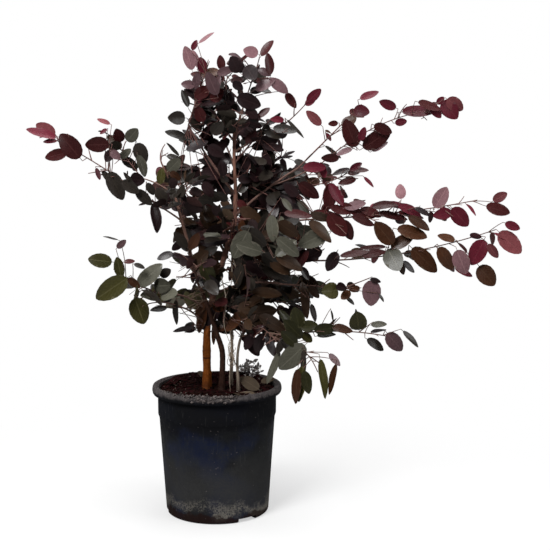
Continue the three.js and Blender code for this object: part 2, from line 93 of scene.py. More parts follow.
Colour = tuple[float, float, float]
Place = tuple[float, float, float]
Pair = tuple[float, float]
Point = np.ndarray
NodeOutputs = bpy.types.bpy_prop_collection


class Draws:
    """Seeded draws between 0 and 1, the same run of numbers as the solids are grown with."""

    MASK = 0xFFFFFFFF
    STRIDE = 0x6D2B79F5

    def __init__(self, seed: int) -> None:
        """Start the run."""
        self.state = seed & self.MASK

    def next(self) -> float:
        """Draw once.

        Returns:
            The draw, from 0 up to 1.
        """
        self.state = (self.state + self.STRIDE) & self.MASK
        mixed = ((self.state ^ (self.state >> 15)) * (1 | self.state)) & self.MASK
        mixed = ((mixed + ((mixed ^ (mixed >> 7)) * (61 | mixed) & self.MASK)) & self.MASK) ^ mixed
        return ((mixed ^ (mixed >> 14)) & self.MASK) / (self.MASK + 1)

    def between(self, low: float, high: float) -> float:
        """Return a draw between two values."""
        return low + (high - low) * self.next()


def unit(vector: Point) -> Point:
    """Return the vector at length 1."""
    return vector / np.linalg.norm(vector)


def turned(vector: Point, axis: Point, angle: float) -> Point:
    """Turn a vector about an axis."""
    along = axis * float(vector @ axis)
    return along + (vector - along) * math.cos(angle) + np.cross(axis, vector) * math.sin(angle)


def heading_of(compass: float) -> Point:
    """Return the level unit vector of a compass angle."""
    return np.array([math.cos(math.radians(compass)), math.sin(math.radians(compass)), 0.0])


class Path:
    """A line through space, known by many points evenly along its length."""

    SAMPLES = 160

    def __init__(self, points: Point) -> None:
        """Space the points evenly.

        Args:
            points: rows of x, y, z in millimetres, close together.
        """
        steps = np.linalg.norm(np.diff(points, axis=0), axis=1)
        reached = np.concatenate([[0.0], np.cumsum(steps)])
        even = np.linspace(0.0, reached[-1], self.SAMPLES + 1)
        self.length = float(reached[-1])
        self.points = np.stack([np.interp(even, reached, points[:, axis]) for axis in range(3)], axis=1)

    def at(self, share: float) -> Point:
        """Find the point at a share of the length.

        Args:
            share: 0 at the foot, 1 at the tip.

        Returns:
            The point.
        """
        place = min(max(share, 0.0), 1.0) * self.SAMPLES
        low = min(int(place), self.SAMPLES - 1)
        return self.points[low] + (self.points[low + 1] - self.points[low]) * (place - low)

    def tangent(self, share: float) -> Point:
        """Return the unit tangent at a share of the length."""
        step = 0.5 / self.SAMPLES
        return unit(self.at(min(share + step, 1.0)) - self.at(max(share - step, 0.0)))


def through(bends: Sequence[Place | Point]) -> Path:
    """Lay a smooth line through bends, as a centripetal Catmull-Rom curve.

    Args:
        bends: the places that the line passes, in millimetres.

    Returns:
        The line.
    """
    places = [np.array(bend, float) for bend in bends]
    guides = [2 * places[0] - places[1], *places, 2 * places[-1] - places[-2]]
    rows = []
    for before, start, end, after in zip(guides, guides[1:], guides[2:], guides[3:]):
        gaps = [math.sqrt(np.linalg.norm(b - a)) for a, b in ((before, start), (start, end), (end, after))]
        leave = ((start - before) / gaps[0] - (end - before) / (gaps[0] + gaps[1]) + (end - start) / gaps[1])
        enter = ((end - start) / gaps[1] - (after - start) / (gaps[1] + gaps[2]) + (after - end) / gaps[2])
        leave, enter = leave * gaps[1], enter * gaps[1]
        for t in np.linspace(0.0, 1.0, 24, endpoint=False):
            square, cube = t * t, t * t * t
            rows.append(start * (2 * cube - 3 * square + 1) + leave * (cube - 2 * square + t)
                        + end * (3 * square - 2 * cube) + enter * (cube - square))
    return Path(np.array([*rows, places[-1]]))


def bowed(foot: Point, middle: Point, tip: Point, count: int) -> Path:
    """Lay a line from foot to tip that a middle point draws aside, worked out at a count of places."""
    t = np.linspace(0.0, 1.0, count)[:, None]
    return Path(foot * (1 - t) ** 2 + middle * 2 * t * (1 - t) + tip * t**2)


def arc_from(foot: Point, compass: float, spread: float, rise: float, arch: float, bow: float) -> Path:
    """Lay a limb's line from its foot to its tip, with a bulge up and to the left.

    Args:
        foot: where it starts.
        compass: the way it heads, in degrees.
        spread: level run to its tip.
        rise: height of its tip over its foot.
        arch: bulge upwards.
        bow: bulge to the left.

    Returns:
        The line.
    """
    heading = heading_of(compass)
    left = np.array([-heading[1], heading[0], 0.0])
    tip = foot + heading * spread + UP * rise
    return bowed(foot, (foot + tip) / 2 + UP * 2 * arch + left * 2 * bow, tip, 60)


def taper(foot: float, tip: float, length: float) -> Callable[[float], float]:
    """Return the radius for a distance along a limb that narrows evenly from foot to tip."""
    return lambda along: foot + (tip - foot) * along / length


@dataclass(frozen=True)
class Viewpoint:
    """The place that the photograph was taken from, fitted to the pot's rim, foot and taper."""

    place: Place = (0.0, -1800.0, 607.0)
    yaw: float = 0.055
    tilt: float = 0.112
    focal_pixels: float = 1071.4
    frame_pixels: float = 550.0

    def axes(self) -> tuple[Point, Point, Point]:
        """Work out the picture's own directions.

        Returns:
            The unit vectors to the right, up and forward.
        """
        right = np.array([math.cos(self.yaw), -math.sin(self.yaw), 0.0])
        level = np.array([math.sin(self.yaw), math.cos(self.yaw), 0.0])
        forward = level * math.cos(self.tilt) - UP * math.sin(self.tilt)
        return right, np.cross(right, forward), forward

    def pixel_of(self, points: Point) -> Point:
        """Find where points appear in the picture.

        Args:
            points: rows of x, y, z, or one of them, in millimetres.

        Returns:
            Rows of pixels across and down, or one of them.
        """
        right, up, forward = self.axes()
        away = points - np.array(self.place)
        scale = self.focal_pixels / (away @ forward)
        half = self.frame_pixels / 2
        return np.stack([half + (away @ right) * scale, half - (away @ up) * scale], axis=-1)

    def point_at(self, pixel: Pair, depth: float) -> Point:
        """Find the point that a pixel shows at a depth.

        Args:
            pixel: across and down in the picture.
            depth: its y, in millimetres.

        Returns:
            The point.
        """
        right, up, forward = self.axes()
        half = self.frame_pixels / 2
        ray = forward * self.focal_pixels + right * (pixel[0] - half) - up * (pixel[1] - half)
        return np.array(self.place) + ray * (depth - self.place[1]) / ray[1]


def add_object(name: str, data: bpy.types.ID) -> Object:
    """Put an object in the scene.

    Args:
        name: its name.
        data: its mesh, lamp or camera.

    Returns:
        The object.
    """
    piece = bpy.data.objects.new(name, data)
    bpy.context.scene.collection.objects.link(piece)
    return piece


class MeshMaker:
    """Gathers many small shapes and joins them into one mesh object."""

    def __init__(self) -> None:
        """Start empty."""
        self.vertices: list[Point] = []
        self.uvs: list[Point] = []
        self.tones: list[Point] = []
        self.quads: list[Point] = []
        self.tris: list[Point] = []
        self.quad_slots: list[Point] = []
        self.tri_slots: list[Point] = []
        self.count = 0

    def add(self, vertices: Point, quads: Point | None, tris: Point | None = None, uvs: Point | None = None,
            slot: int = 0, tone: float = 0.5) -> None:
        """Add one shape.

        Args:
            vertices: rows of x, y, z in millimetres.
            quads: rows of four vertex numbers, if it has any.
            tris: rows of three vertex numbers, if it has any.
            uvs: rows of u, v, one for each vertex, or None for its x and y in metres.
            slot: number of the material.
            tone: lightness from 0 to 1, kept on each vertex.
        """
        self.vertices.append(vertices * MM)
        self.uvs.append(vertices[:, :2] * MM if uvs is None else uvs)
        self.tones.append(np.full(len(vertices), tone))
        for faces, kept, slots in ((quads, self.quads, self.quad_slots), (tris, self.tris, self.tri_slots)):
            if faces is not None:
                kept.append(faces + self.count)
                slots.append(np.full(len(faces), slot))
        self.count += len(vertices)

    def build(self, name: str, materials: list[Material]) -> Object:
        """Join what was added.

        Args:
            name: the object's name.
            materials: one for each slot number.

        Returns:
            The object, linked to the scene.
        """
        parts = self.quads + self.tris
        faces = [row for part in parts for row in part.tolist()]
        loops = np.concatenate([part.ravel() for part in parts])
        mesh = bpy.data.meshes.new(name)
        mesh.from_pydata(np.concatenate(self.vertices).tolist(), [], faces)
        mesh.polygons.foreach_set("use_smooth", np.ones(len(faces), bool))
        slots = np.concatenate(self.quad_slots + self.tri_slots)
        mesh.polygons.foreach_set("material_index", slots.astype(np.int32))
        layer = mesh.uv_layers.new(name="surface")
        layer.data.foreach_set("uv", np.concatenate(self.uvs)[loops].astype(np.float32).ravel())
        tone = mesh.attributes.new("tone", "FLOAT", "POINT")
        tone.data.foreach_set("value", np.concatenate(self.tones).astype(np.float32))
        for material in materials:
            mesh.materials.append(material)
        mesh.update()
        return add_object(name, mesh)


def add_tube(maker: MeshMaker, path: Path, radius_at: Callable[[float], float], sides: int, steps: int,
             relief: Callable[[float, float], float] | None = None, slot: int = 0, tone: float = 0.5) -> None:
    """Add a round tapering tube along a line, closed at its tip.

    Args:
        maker: where the tube goes.
        path: the centre line.
        radius_at: radius for a distance along the line.
        sides: faces round the tube.
        steps: rings along the tube.
        relief: factor on the radius for a distance along and an angle round.
        slot: number of the material.
        tone: lightness from 0 to 1.
    """
    angles = np.arange(sides + 1) * (2 * math.pi / sides)
    start = path.tangent(0)
    across = np.cross(UP if abs(start[2]) < 0.9 else np.array([0.0, 1.0, 0.0]), start)
    rows, uvs = [], []
    for step in range(steps + 1):
        share = step / steps
        tangent = path.tangent(share)
        across = unit(across - tangent * float(across @ tangent))
        over = np.cross(tangent, across)
        along = share * path.length
        swell = np.array([relief(along, a) if relief else 1.0 for a in angles[:-1]])
        radii = radius_at(along) * np.append(swell, swell[0])
        ring = np.cos(angles)[:, None] * across + np.sin(angles)[:, None] * over
        rows.append(path.at(share) + ring * radii[:, None])
        uvs.append(np.stack([angles / (2 * math.pi), np.full(sides + 1, along * MM)], axis=1))
    tip = path.at(1.0) + path.tangent(1.0) * radius_at(path.length) * 0.6
    wide = sides + 1
    low = (np.arange(steps)[:, None] * wide + np.arange(sides)).ravel()
    quads = np.stack([low, low + 1, low + wide + 1, low + wide], axis=1)
    last = steps * wide + np.arange(sides)
    tris = np.stack([last, last + 1, np.full(sides, (steps + 1) * wide)], axis=1)
    vertices = np.concatenate([*rows, tip[None, :]])
    maker.add(vertices, quads, tris, np.concatenate([*uvs, [[0.5, path.length * MM]]]), slot, tone)


def opaque(value: object) -> object:
    """Return a colour with its alpha, and anything else as it is."""
    return (*value, 1.0) if isinstance(value, tuple) and len(value) == 3 else value


class Graph:
    """Adds and joins the nodes of one material or node group."""

    def __init__(self, tree: NodeTree) -> None:
        """Take a tree to work in."""
        self.tree = tree

    def add(self, kind: str, inputs: dict[str | int, object] | None = None, **settings: object) -> Node:
        """Add a node.

        Args:
            kind: the node's type.
            inputs: for each input, another node's socket or a value.
            settings: the node's own properties.

        Returns:
            The node.
        """
        node = self.tree.nodes.new(kind)
        for key, value in settings.items():
            setattr(node, key, value)
        for key, value in (inputs or {}).items():
            if isinstance(value, NodeSocket):
                self.tree.links.new(value, node.inputs[key])
            else:
                node.inputs[key].default_value = value
        return node

    def join(self, node: Node, **values: NodeSocket) -> None:
        """Join values to a node's inputs, which are named with _ for spaces."""
        for key, value in values.items():
            self.tree.links.new(value, node.inputs[key.replace("_", " ")])

    def use(self, group: NodeTree, **values: object) -> NodeOutputs:
        """Place a node group with its own values.

        Args:
            group: the group.
            values: its input values, a colour as three numbers.

        Returns:
            Its outputs, by name.
        """
        node = self.add("ShaderNodeGroup", node_tree=group)
        for key, value in values.items():
            node.inputs[key].default_value = opaque(value)
        return node.outputs

    def place(self) -> NodeSocket:
        """Return the place on the part, in metres."""
        return self.add("ShaderNodeTexCoord").outputs["Object"]

    def height(self, place: NodeSocket) -> NodeSocket:
        """Return how high a place or direction is."""
        return self.add("ShaderNodeSeparateXYZ", {0: place}).outputs["Z"]

    def tone(self) -> NodeSocket:
        """Return the lightness that each shape keeps on its vertices."""
        return self.add("ShaderNodeAttribute", attribute_name="tone").outputs["Fac"]

    def moved(self, where: NodeSocket, **change: tuple[float, float, float]) -> NodeSocket:
        """Return places or surface coordinates after a Location or a Scale."""
        return self.add("ShaderNodeMapping", {"Vector": where, **change}).outputs[0]

    def sums(self, operation: str, first: object, second: object = 0.0, clamp: bool = False) -> NodeSocket:
        """Return the result of a sum on two numbers."""
        node = self.add("ShaderNodeMath", {0: first, 1: second}, operation=operation, use_clamp=clamp)
        return node.outputs[0]

    def share(self, operation: str, first: object, second: object) -> NodeSocket:
        """Return the result of a sum on two numbers, kept between 0 and 1."""
        return self.sums(operation, first, second, True)

    def blend(self, share: object, first: object, second: object) -> NodeSocket:
        """Return a colour that is the first at share 0 and the second at share 1."""
        colours = {"Factor": share, 6: opaque(first), 7: opaque(second)}
        return self.add("ShaderNodeMix", colours, data_type="RGBA").outputs[2]

    def towards(self, share: object, value: object) -> NodeSocket:
        """Return a number that is 1 at share 0 and the value at share 1."""
        return self.add("ShaderNodeMix", {"Factor": share, 2: 1.0, 3: value}, data_type="FLOAT").outputs[0]

    def fade(self, value: object, low: object, high: object, start: float = 0.0) -> NodeSocket:
        """Return start below low and 1 above high, smooth between."""
        ends = {"Value": value, "From Min": low, "From Max": high, "To Min": start}
        return self.add("ShaderNodeMapRange", ends, interpolation_type="SMOOTHSTEP").outputs[0]

    def spread(self, value: object, low: float, high: float, start: float = 0.0,
               end: float = 1.0) -> NodeSocket:
        """Return a number that runs from low to high while the value runs from start to end."""
        ends = {"Value": value, "From Min": start, "From Max": end, "To Min": low, "To Max": high}
        return self.add("ShaderNodeMapRange", ends).outputs[0]

    def speckle(self, where: object, scale: object, detail: float, rough: float = 0.6) -> NodeSocket:
        """Return a noise value."""
        settings = {"Vector": where, "Scale": scale, "Detail": detail, "Roughness": rough}
        return self.add("ShaderNodeTexNoise", settings).outputs[0]

    def bump(self, height: NodeSocket, strength: float, depth: float) -> NodeSocket:
        """Return the normals of a relief, whose depth is in metres."""
        relief = {"Height": height, "Strength": strength, "Distance": depth}
        return self.add("ShaderNodeBump", relief).outputs[0]


def new_group(name: str, inputs: dict[str, object],
              outputs: tuple[str, ...]) -> tuple[Graph, NodeOutputs, Node]:
    """Start a shader node group.

    Args:
        name: the group's name.
        inputs: each input's name and its value, a number or a colour.
        outputs: each output's name; Color is a colour and the others are numbers.

    Returns:
        Its graph, what it is given, by name, and its output node.
    """
    tree = bpy.data.node_groups.new(name, "ShaderNodeTree")
    for label, value in inputs.items():
        kind = "NodeSocketColor" if isinstance(value, tuple) else "NodeSocketFloat"
        socket = tree.interface.new_socket(name=label, in_out="INPUT", socket_type=kind)
        socket.default_value = opaque(value)
    for label in outputs:
        kind = "NodeSocketColor" if label == "Color" else "NodeSocketFloat"
        tree.interface.new_socket(name=label, in_out="OUTPUT", socket_type=kind)
    graph = Graph(tree)
    return graph, graph.add("NodeGroupInput").outputs, graph.add("NodeGroupOutput")


class Effects:
    """The shader node groups that several materials share, each built once."""

    def __init__(self) -> None:
        """Build the groups."""
        self.height_band = self.build_height_band()
        self.bark = self.build_bark()
        self.leaf = self.build_leaf()

    @staticmethod
    def build_height_band() -> NodeTree:
        """Build a mask between two heights with a ragged edge, for dust, splashes and wear.

        Returns:
            The group, with the output Mask.
        """
        values = {"Low": 0.0, "High": 0.1, "Edge": 0.01, "Scale": 60.0, "Breakup": 0.5, "Ragged": 0.01}
        graph, given, out = new_group("Height band", values, ("Mask",))
        place = graph.place()
        coarse = graph.speckle(place, given["Scale"], 5.0, 0.65)
        wave = graph.sums("MULTIPLY", graph.sums("SUBTRACT", coarse, 0.5), given["Ragged"])
        level = graph.sums("ADD", graph.height(place), wave)
        low, high = (graph.fade(level, given[end], graph.sums("ADD", given[end], given["Edge"]))
                     for end in ("Low", "High"))
        fine = graph.speckle(place, 420.0, 3.0, 0.7)
        grain = graph.fade(graph.share("MULTIPLY", coarse, fine), 0.16, 0.36)
        kept = graph.towards(given["Breakup"], grain)
        graph.join(out, Mask=graph.share("MULTIPLY", graph.share("SUBTRACT", low, high), kept))
        return graph.tree

    @staticmethod
    def build_bark() -> NodeTree:
        """Build bark, with streaks along the limb and small pores.

        Returns:
            The group, with outputs Color, Roughness and Height.
        """
        values = {"Bark": (0.1, 0.05, 0.03), "Streak": (0.2, 0.1, 0.06), "Amount": 0.6}
        graph, given, out = new_group("Bark", values, ("Color", "Roughness", "Height"))
        surface = graph.add("ShaderNodeUVMap", uv_map="surface").outputs[0]
        long_way = graph.moved(surface, Scale=(9.0, 120.0, 1.0))
        streaks = graph.fade(graph.speckle(long_way, 1.0, 5.0), 0.4, 0.68)
        pores = graph.fade(graph.speckle(graph.place(), 900.0, 2.0, 0.5), 0.56, 0.68)
        marks = graph.share("MAXIMUM", streaks, pores)
        tint = graph.blend(graph.share("MULTIPLY", marks, given["Amount"]), given["Bark"], given["Streak"])
        graph.join(out, Color=tint, Roughness=graph.spread(streaks, 0.5, 0.8), Height=marks)
        return graph.tree

    @staticmethod
    def build_leaf() -> NodeTree:
        """Build a leaf's surface: midrib, side veins, mottling and a tone of its own for each leaf.

        Returns:
            The group, with outputs Color, Roughness and Height.
        """
        values = {"Blade": (0.1, 0.02, 0.03), "Vein": (0.2, 0.1, 0.1), "Veining": 0.4, "Mottle": 0.5,
                  "Roughness": 0.4}
        graph, given, out = new_group("Leaf surface", values, ("Color", "Roughness", "Height"))
        surface = graph.add("ShaderNodeUVMap", uv_map="surface").outputs[0]
        parts = graph.add("ShaderNodeSeparateXYZ", {0: surface}).outputs
        side = graph.sums("ABSOLUTE", graph.sums("SUBTRACT", parts["X"], 0.5))
        midrib = graph.share("SUBTRACT", 1.0, graph.fade(side, 0.012, 0.05))
        climb = graph.sums("SUBTRACT", parts["Y"], graph.sums("MULTIPLY", side, 0.9))
        within = graph.sums("FRACT", graph.sums("MULTIPLY", climb, 7.0))
        apart = graph.sums("ABSOLUTE", graph.sums("SUBTRACT", within, 0.5))
        ribs = graph.share("MULTIPLY", graph.share("SUBTRACT", 1.0, graph.fade(apart, 0.0, 0.12)), 0.55)
        veins = graph.share("MAXIMUM", midrib, ribs)
        mottle = graph.speckle(graph.place(), 190.0, 4.0, 0.65)
        patchy = graph.towards(given["Mottle"], graph.spread(mottle, 0.72, 1.3, 0.3, 0.7))
        light = graph.sums("MULTIPLY", graph.spread(graph.tone(), 0.62, 1.5), patchy)
        blade = {0: given["Blade"], "Scale": light}
        toned = graph.add("ShaderNodeVectorMath", blade, operation="SCALE").outputs[0]
        veined = graph.blend(graph.share("MULTIPLY", veins, given["Veining"]), toned, given["Vein"])
        rough = graph.sums("ADD", given["Roughness"], graph.spread(mottle, -0.06, 0.14, 0.3, 0.7))
        graph.join(out, Color=veined, Roughness=rough, Height=graph.share("SUBTRACT", 1.0, veins))
        return graph.tree


def new_material(name: str, **sockets: object) -> tuple[Material, Graph, Node]:
    """Start a material with a Principled shader.

    Args:
        name: the material's name.
        sockets: plain values for the shader, with _ for spaces in their names.

    Returns:
        The material, its graph and its shader.
    """
    material = bpy.data.materials.new(name)
    material.use_nodes = True
    shader = material.node_tree.nodes["Principled BSDF"]
    for key, value in sockets.items():
        shader.inputs[key.replace("_", " ")].default_value = value
    return material, Graph(material.node_tree), shader


@dataclass(frozen=True)
class Band:
    """A ragged band between two heights, in metres, and how far it covers what lies under it."""

    low: float
    high: float
    edge: float
    scale: float
    breakup: float
    ragged: float
    strength: float = 0.8

    def mask(self, graph: Graph, effects: Effects) -> NodeSocket:
        """Place it in a material.

        Args:
            graph: the material's graph.
            effects: the shared node groups.

        Returns:
            Its mask.
        """
        band = graph.use(effects.height_band, Low=self.low, High=self.high, Edge=self.edge, Scale=self.scale,
                         Breakup=self.breakup, Ragged=self.ragged)
        return graph.share("MULTIPLY", band["Mask"], self.strength)


@dataclass(frozen=True)
class PotFinish:
    """Black moulded plastic: dusty towards its foot, muddy at the bottom edge, worn grey at the rim, with a
    bluish sheen painted in patches below its upper wall.
    """

    plastic: Colour = (0.0030, 0.0031, 0.0042)
    painted_sheen: Colour = (0.0034, 0.0066, 0.0230)
    haze: Colour = (0.030, 0.030, 0.030)
    dust: Colour = (0.150, 0.138, 0.118)
    mud: Colour = (0.0130, 0.0052, 0.0040)
    wear: Colour = (0.110, 0.096, 0.094)
    smear: Colour = (0.0135, 0.0150, 0.0150)

    def build(self, effects: Effects) -> Material:
        """Build the material.

        Args:
            effects: the shared node groups.

        Returns:
            The material.
        """
        material, graph, shader = new_material("pot_plastic", Specular_IOR_Level=0.1)
        place = graph.place()
        # Painted sheen: cloudy patches of bluish reflection on the black wall. The first band below paints
        # the upper wall back to plain plastic, so the painted sheen stays below it.
        sheen_patches = graph.speckle(graph.moved(place, Location=(0.012, 0.0, 0.016)), 14.0, 3.0, 0.5)
        tint = graph.blend(graph.fade(sheen_patches, 0.42, 0.62), self.plastic, self.painted_sheen)
        layers = (
            (self.plastic, Band(0.130, 0.3, 0.035, 20.0, 0.0, 0.08, 0.9)),
            (self.smear, Band(0.08, 0.140, 0.03, 24.0, 0.8, 0.26, 0.6)),
            (self.haze, Band(-0.02, 0.060, 0.08, 16.0, 0.3, 0.10, 0.95)),
            (self.dust, Band(0.004, 0.026, 0.018, 19.0, 1.0, 0.11, 0.95)),
            (self.mud, Band(-0.03, 0.010, 0.008, 30.0, 0.1, 0.06, 0.92)),
            (self.wear, Band(0.2085, 0.3, 0.006, 110.0, 0.55, 0.01, 0.75)),
        )
        dull = None
        for colour, band in layers:
            mask = band.mask(graph, effects)
            tint = graph.blend(mask, tint, colour)
            dull = mask if dull is None else graph.share("MAXIMUM", dull, mask)
        scratches = graph.speckle(graph.moved(place, Scale=(1.0, 1.0, 0.12)), 330.0, 2.0, 0.5)
        scratched = graph.share("MULTIPLY", graph.fade(scratches, 0.62, 0.72), 0.35)
        specks = graph.fade(graph.speckle(place, 240.0, 1.0, 0.4), 0.73, 0.80)
        tint = graph.blend(scratched, tint, self.haze)
        tint = graph.blend(graph.share("MULTIPLY", specks, 0.4), tint, self.wear)
        relief = graph.share("ADD", graph.share("MULTIPLY", dull, 0.5), graph.speckle(place, 900.0, 2.0, 0.5))
        graph.join(shader, Base_Color=tint, Roughness=graph.spread(dull, 0.46, 0.92),
                   Normal=graph.bump(relief, 0.18, 0.0008))
        return material


@dataclass(frozen=True)
class BarkFinish:
    """Bark of one kind of limb, of another colour from the height change upwards, with soil on its foot."""

    name: str
    bark: Colour
    streak: Colour
    upper: Colour
    change: float = 0.30
    amount: float = 0.6
    ring: float = -1.0
    soil: Colour = (0.012, 0.004, 0.003)

    def build(self, effects: Effects) -> Material:
        """Build the material.

        Args:
            effects: the shared node groups.

        Returns:
            The material.
        """
        material, graph, shader = new_material(self.name, Specular_IOR_Level=0.12)
        bark = graph.use(effects.bark, Bark=self.bark, Streak=self.streak, Amount=self.amount)
        aged = graph.fade(graph.height(graph.place()), self.change, self.change + 0.07)
        tint = graph.blend(graph.share("MULTIPLY", aged, 0.85), bark["Color"], self.upper)
        splash = Band(0.1, 0.212, 0.03, 160.0, 0.3, 0.02)
        scar = Band(self.ring, self.ring + 0.0022, 0.0012, 90.0, 0.0, 0.004)
        for band in (splash, scar):
            tint = graph.blend(band.mask(graph, effects), tint, self.soil)
        graph.join(shader, Base_Color=tint, Roughness=bark["Roughness"],
                   Normal=graph.bump(bark["Height"], 0.5, 0.0006))
        return material


@dataclass(frozen=True)
class LeafFinish:
    """One colour of leaf, with its upper face, its paler underside and how glossy it is."""

    name: str
    blade: Colour
    under: Colour
    vein: Colour
    gloss: float = 0.25
    roughness: float = 0.38
    veining: float = 0.35

    def build(self, effects: Effects) -> list[Material]:
        """Build both sides.

        Args:
            effects: the shared node groups.

        Returns:
            The upper and the under material.
        """
        materials = []
        for side, blade, gloss, rough in (("upper", self.blade, self.gloss, self.roughness),
                                          ("under", self.under, 0.0, self.roughness + 0.2)):
            material, graph, shader = new_material(f"{self.name}_{side}", Specular_IOR_Level=0.07,
                                                   Coat_Weight=gloss, Coat_Roughness=0.27)
            leaf = graph.use(effects.leaf, Blade=blade, Vein=self.vein, Veining=self.veining, Mottle=0.6,
                             Roughness=rough)
            graph.join(shader, Base_Color=leaf["Color"], Roughness=leaf["Roughness"],
                       Normal=graph.bump(leaf["Height"], 0.35, 0.0005))
            materials.append(material)
        return materials


@dataclass(frozen=True)
class CrumbFinish:
    """Loose matter: potting mix, bark chips, grit or dried dirt."""

    name: str
    dark: Colour
    light: Colour
    scale: float = 220.0
    rough: float = 0.9

    def build(self) -> Material:
        """Build the material.

        Returns:
            The material.
        """
        material, graph, shader = new_material(self.name, Specular_IOR_Level=0.06)
        crumbs = graph.speckle(graph.place(), self.scale, 6.0, 0.7)
        lit = graph.share("MULTIPLY", crumbs, graph.share("ADD", graph.tone(), 0.5))
        tint = graph.blend(graph.fade(lit, 0.35, 0.75), self.dark, self.light)
        graph.join(shader, Base_Color=tint, Roughness=graph.spread(crumbs, self.rough - 0.2, self.rough),
                   Normal=graph.bump(crumbs, 0.6, 0.0015))
        return material


class Kind(Enum):
    """The leaf colours that the plant bears: blade, underside, vein, gloss, roughness and veining of each."""

    ROSE = ((0.122, 0.032, 0.036), (0.17, 0.07, 0.075), (0.20, 0.07, 0.072), 0.05, 0.5)
    BLUSH = ((0.22, 0.112, 0.125), (0.26, 0.17, 0.16), (0.32, 0.19, 0.19), 0.06, 0.5)
    MAUVE = ((0.082, 0.044, 0.049), (0.11, 0.072, 0.074), (0.13, 0.075, 0.078), 0.25, 0.4)
    CRIMSON = ((0.072, 0.0070, 0.0140), (0.090, 0.032, 0.036), (0.11, 0.026, 0.032), 0.12, 0.42)
    BURGUNDY = ((0.033, 0.0056, 0.0058), (0.055, 0.026, 0.024), (0.066, 0.022, 0.020), 0.16, 0.4)
    PURPLE = ((0.0098, 0.0036, 0.0042), (0.030, 0.018, 0.018), (0.027, 0.015, 0.015), 0.3)
    DUSK = ((0.0135, 0.0105, 0.0082), (0.034, 0.028, 0.022), (0.034, 0.028, 0.020), 0.3)
    BRONZE = ((0.036, 0.0125, 0.0050), (0.058, 0.034, 0.021), (0.065, 0.034, 0.018), 0.22)
    UMBER = ((0.0200, 0.0098, 0.0048), (0.040, 0.026, 0.016), (0.042, 0.026, 0.016), 0.18, 0.42)
    OLIVE = ((0.031, 0.028, 0.0066), (0.062, 0.056, 0.028), (0.085, 0.076, 0.034), 0.2, 0.4, 0.5)
    FOREST = ((0.0135, 0.0130, 0.0042), (0.036, 0.034, 0.016), (0.038, 0.035, 0.015), 0.22, 0.4)
    SAGE = ((0.052, 0.050, 0.037), (0.080, 0.073, 0.056), (0.11, 0.105, 0.08), 0.25, 0.4, 0.5)

    @property
    def finish(self) -> LeafFinish:
        """Return the finish of this colour."""
        return LeafFinish(f"{self.name.lower()}_leaf", *self.value)


ROSE, BLUSH, MAUVE, CRIMSON, BURGUNDY, PURPLE, DUSK, BRONZE, UMBER, OLIVE, FOREST, SAGE = Kind
SHARED_SLOTS = {
    ROSE: "crimson_leaf", BLUSH: "crimson_leaf", DUSK: "purple_leaf", MAUVE: "burgundy_leaf",
    FOREST: "olive_leaf", UMBER: "bronze_leaf",
}


class Palette(Enum):
    """Which leaf colours a stretch of foliage bears, and how much of each."""

    DARK_CORE = {PURPLE: 5, DUSK: 4, BURGUNDY: 1}
    DUSKY = {DUSK: 4, UMBER: 2, PURPLE: 3, BRONZE: 1}
    BROWN_SHADE = {UMBER: 5, BRONZE: 1, DUSK: 2, BURGUNDY: 1}
    WINE = {BURGUNDY: 5, BRONZE: 2, PURPLE: 2, CRIMSON: 1}
    BRONZED = {BRONZE: 5, BURGUNDY: 4, PURPLE: 1}
    RED_TIPS = {BURGUNDY: 5, CRIMSON: 3, BRONZE: 2}
    ROSE_TIPS = {CRIMSON: 6, BURGUNDY: 3, ROSE: 1}
    PINK_CROWN = {BURGUNDY: 6, PURPLE: 2, MAUVE: 1, CRIMSON: 1}
    OLIVE_SKIRT = {OLIVE: 5, DUSK: 3, SAGE: 2}
    OLIVE_TIPS = {OLIVE: 8, SAGE: 2}
    GREY_FRONT = {SAGE: 5, DUSK: 3, BRONZE: 2}
    LOW_BROWN = {UMBER: 4, BRONZE: 1, FOREST: 4, DUSK: 1}


BARKS = {
    "main": BarkFinish("main_bark", (0.180, 0.046, 0.0050), (0.33, 0.100, 0.016), (0.230, 0.118, 0.090),
                       ring=0.262),
    "dark": BarkFinish("dark_bark", (0.018, 0.0065, 0.004), (0.06, 0.027, 0.016), (0.165, 0.09, 0.068), 0.37),
    "pale": BarkFinish("pale_bark", (0.17, 0.135, 0.105), (0.30, 0.25, 0.20), (0.040, 0.018, 0.012), 0.285),
    "bough": BarkFinish("bough_bark", (0.100, 0.052, 0.040), (0.22, 0.14, 0.11), (0.145, 0.082, 0.066), 0.33),
    "twig": BarkFinish("twig_bark", (0.085, 0.042, 0.034), (0.20, 0.12, 0.095), (0.130, 0.062, 0.054), 0.45),
    "bare": BarkFinish("bare_twig_bark", (0.09, 0.056, 0.038), (0.22, 0.16, 0.12), (0.075, 0.044, 0.03),
                       0.37),
    "dry": BarkFinish("dry_bark", (0.26, 0.20, 0.15), (0.42, 0.36, 0.29), (0.34, 0.28, 0.22), 0.28),
}
WITHERED = LeafFinish("withered_leaf", (0.06, 0.044, 0.03), (0.08, 0.064, 0.048), (0.09, 0.07, 0.05),
                      0.0, 0.7)
# The moss is pale grey, and its colour is made lighter still as painted light, to make up for the shade that
# the crown casts on the tuft.
LIT_MOSS = LeafFinish("lit_moss_leaf", (0.30, 0.27, 0.26), (0.34, 0.31, 0.29), (0.38, 0.35, 0.33), 0.0, 0.75)


def dress(piece: Object, slot: str, *nodes: str) -> None:
    """Seat a piece on the part's body and report it.

    Args:
        piece: the piece.
        slot: the record's material slot; not used.
        nodes: the solids that it stands for.
    """
    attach(piece, "root")
    if nodes:
        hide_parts(*nodes)
    LOG.info("%s: %d faces", piece.name, len(piece.data.polygons))


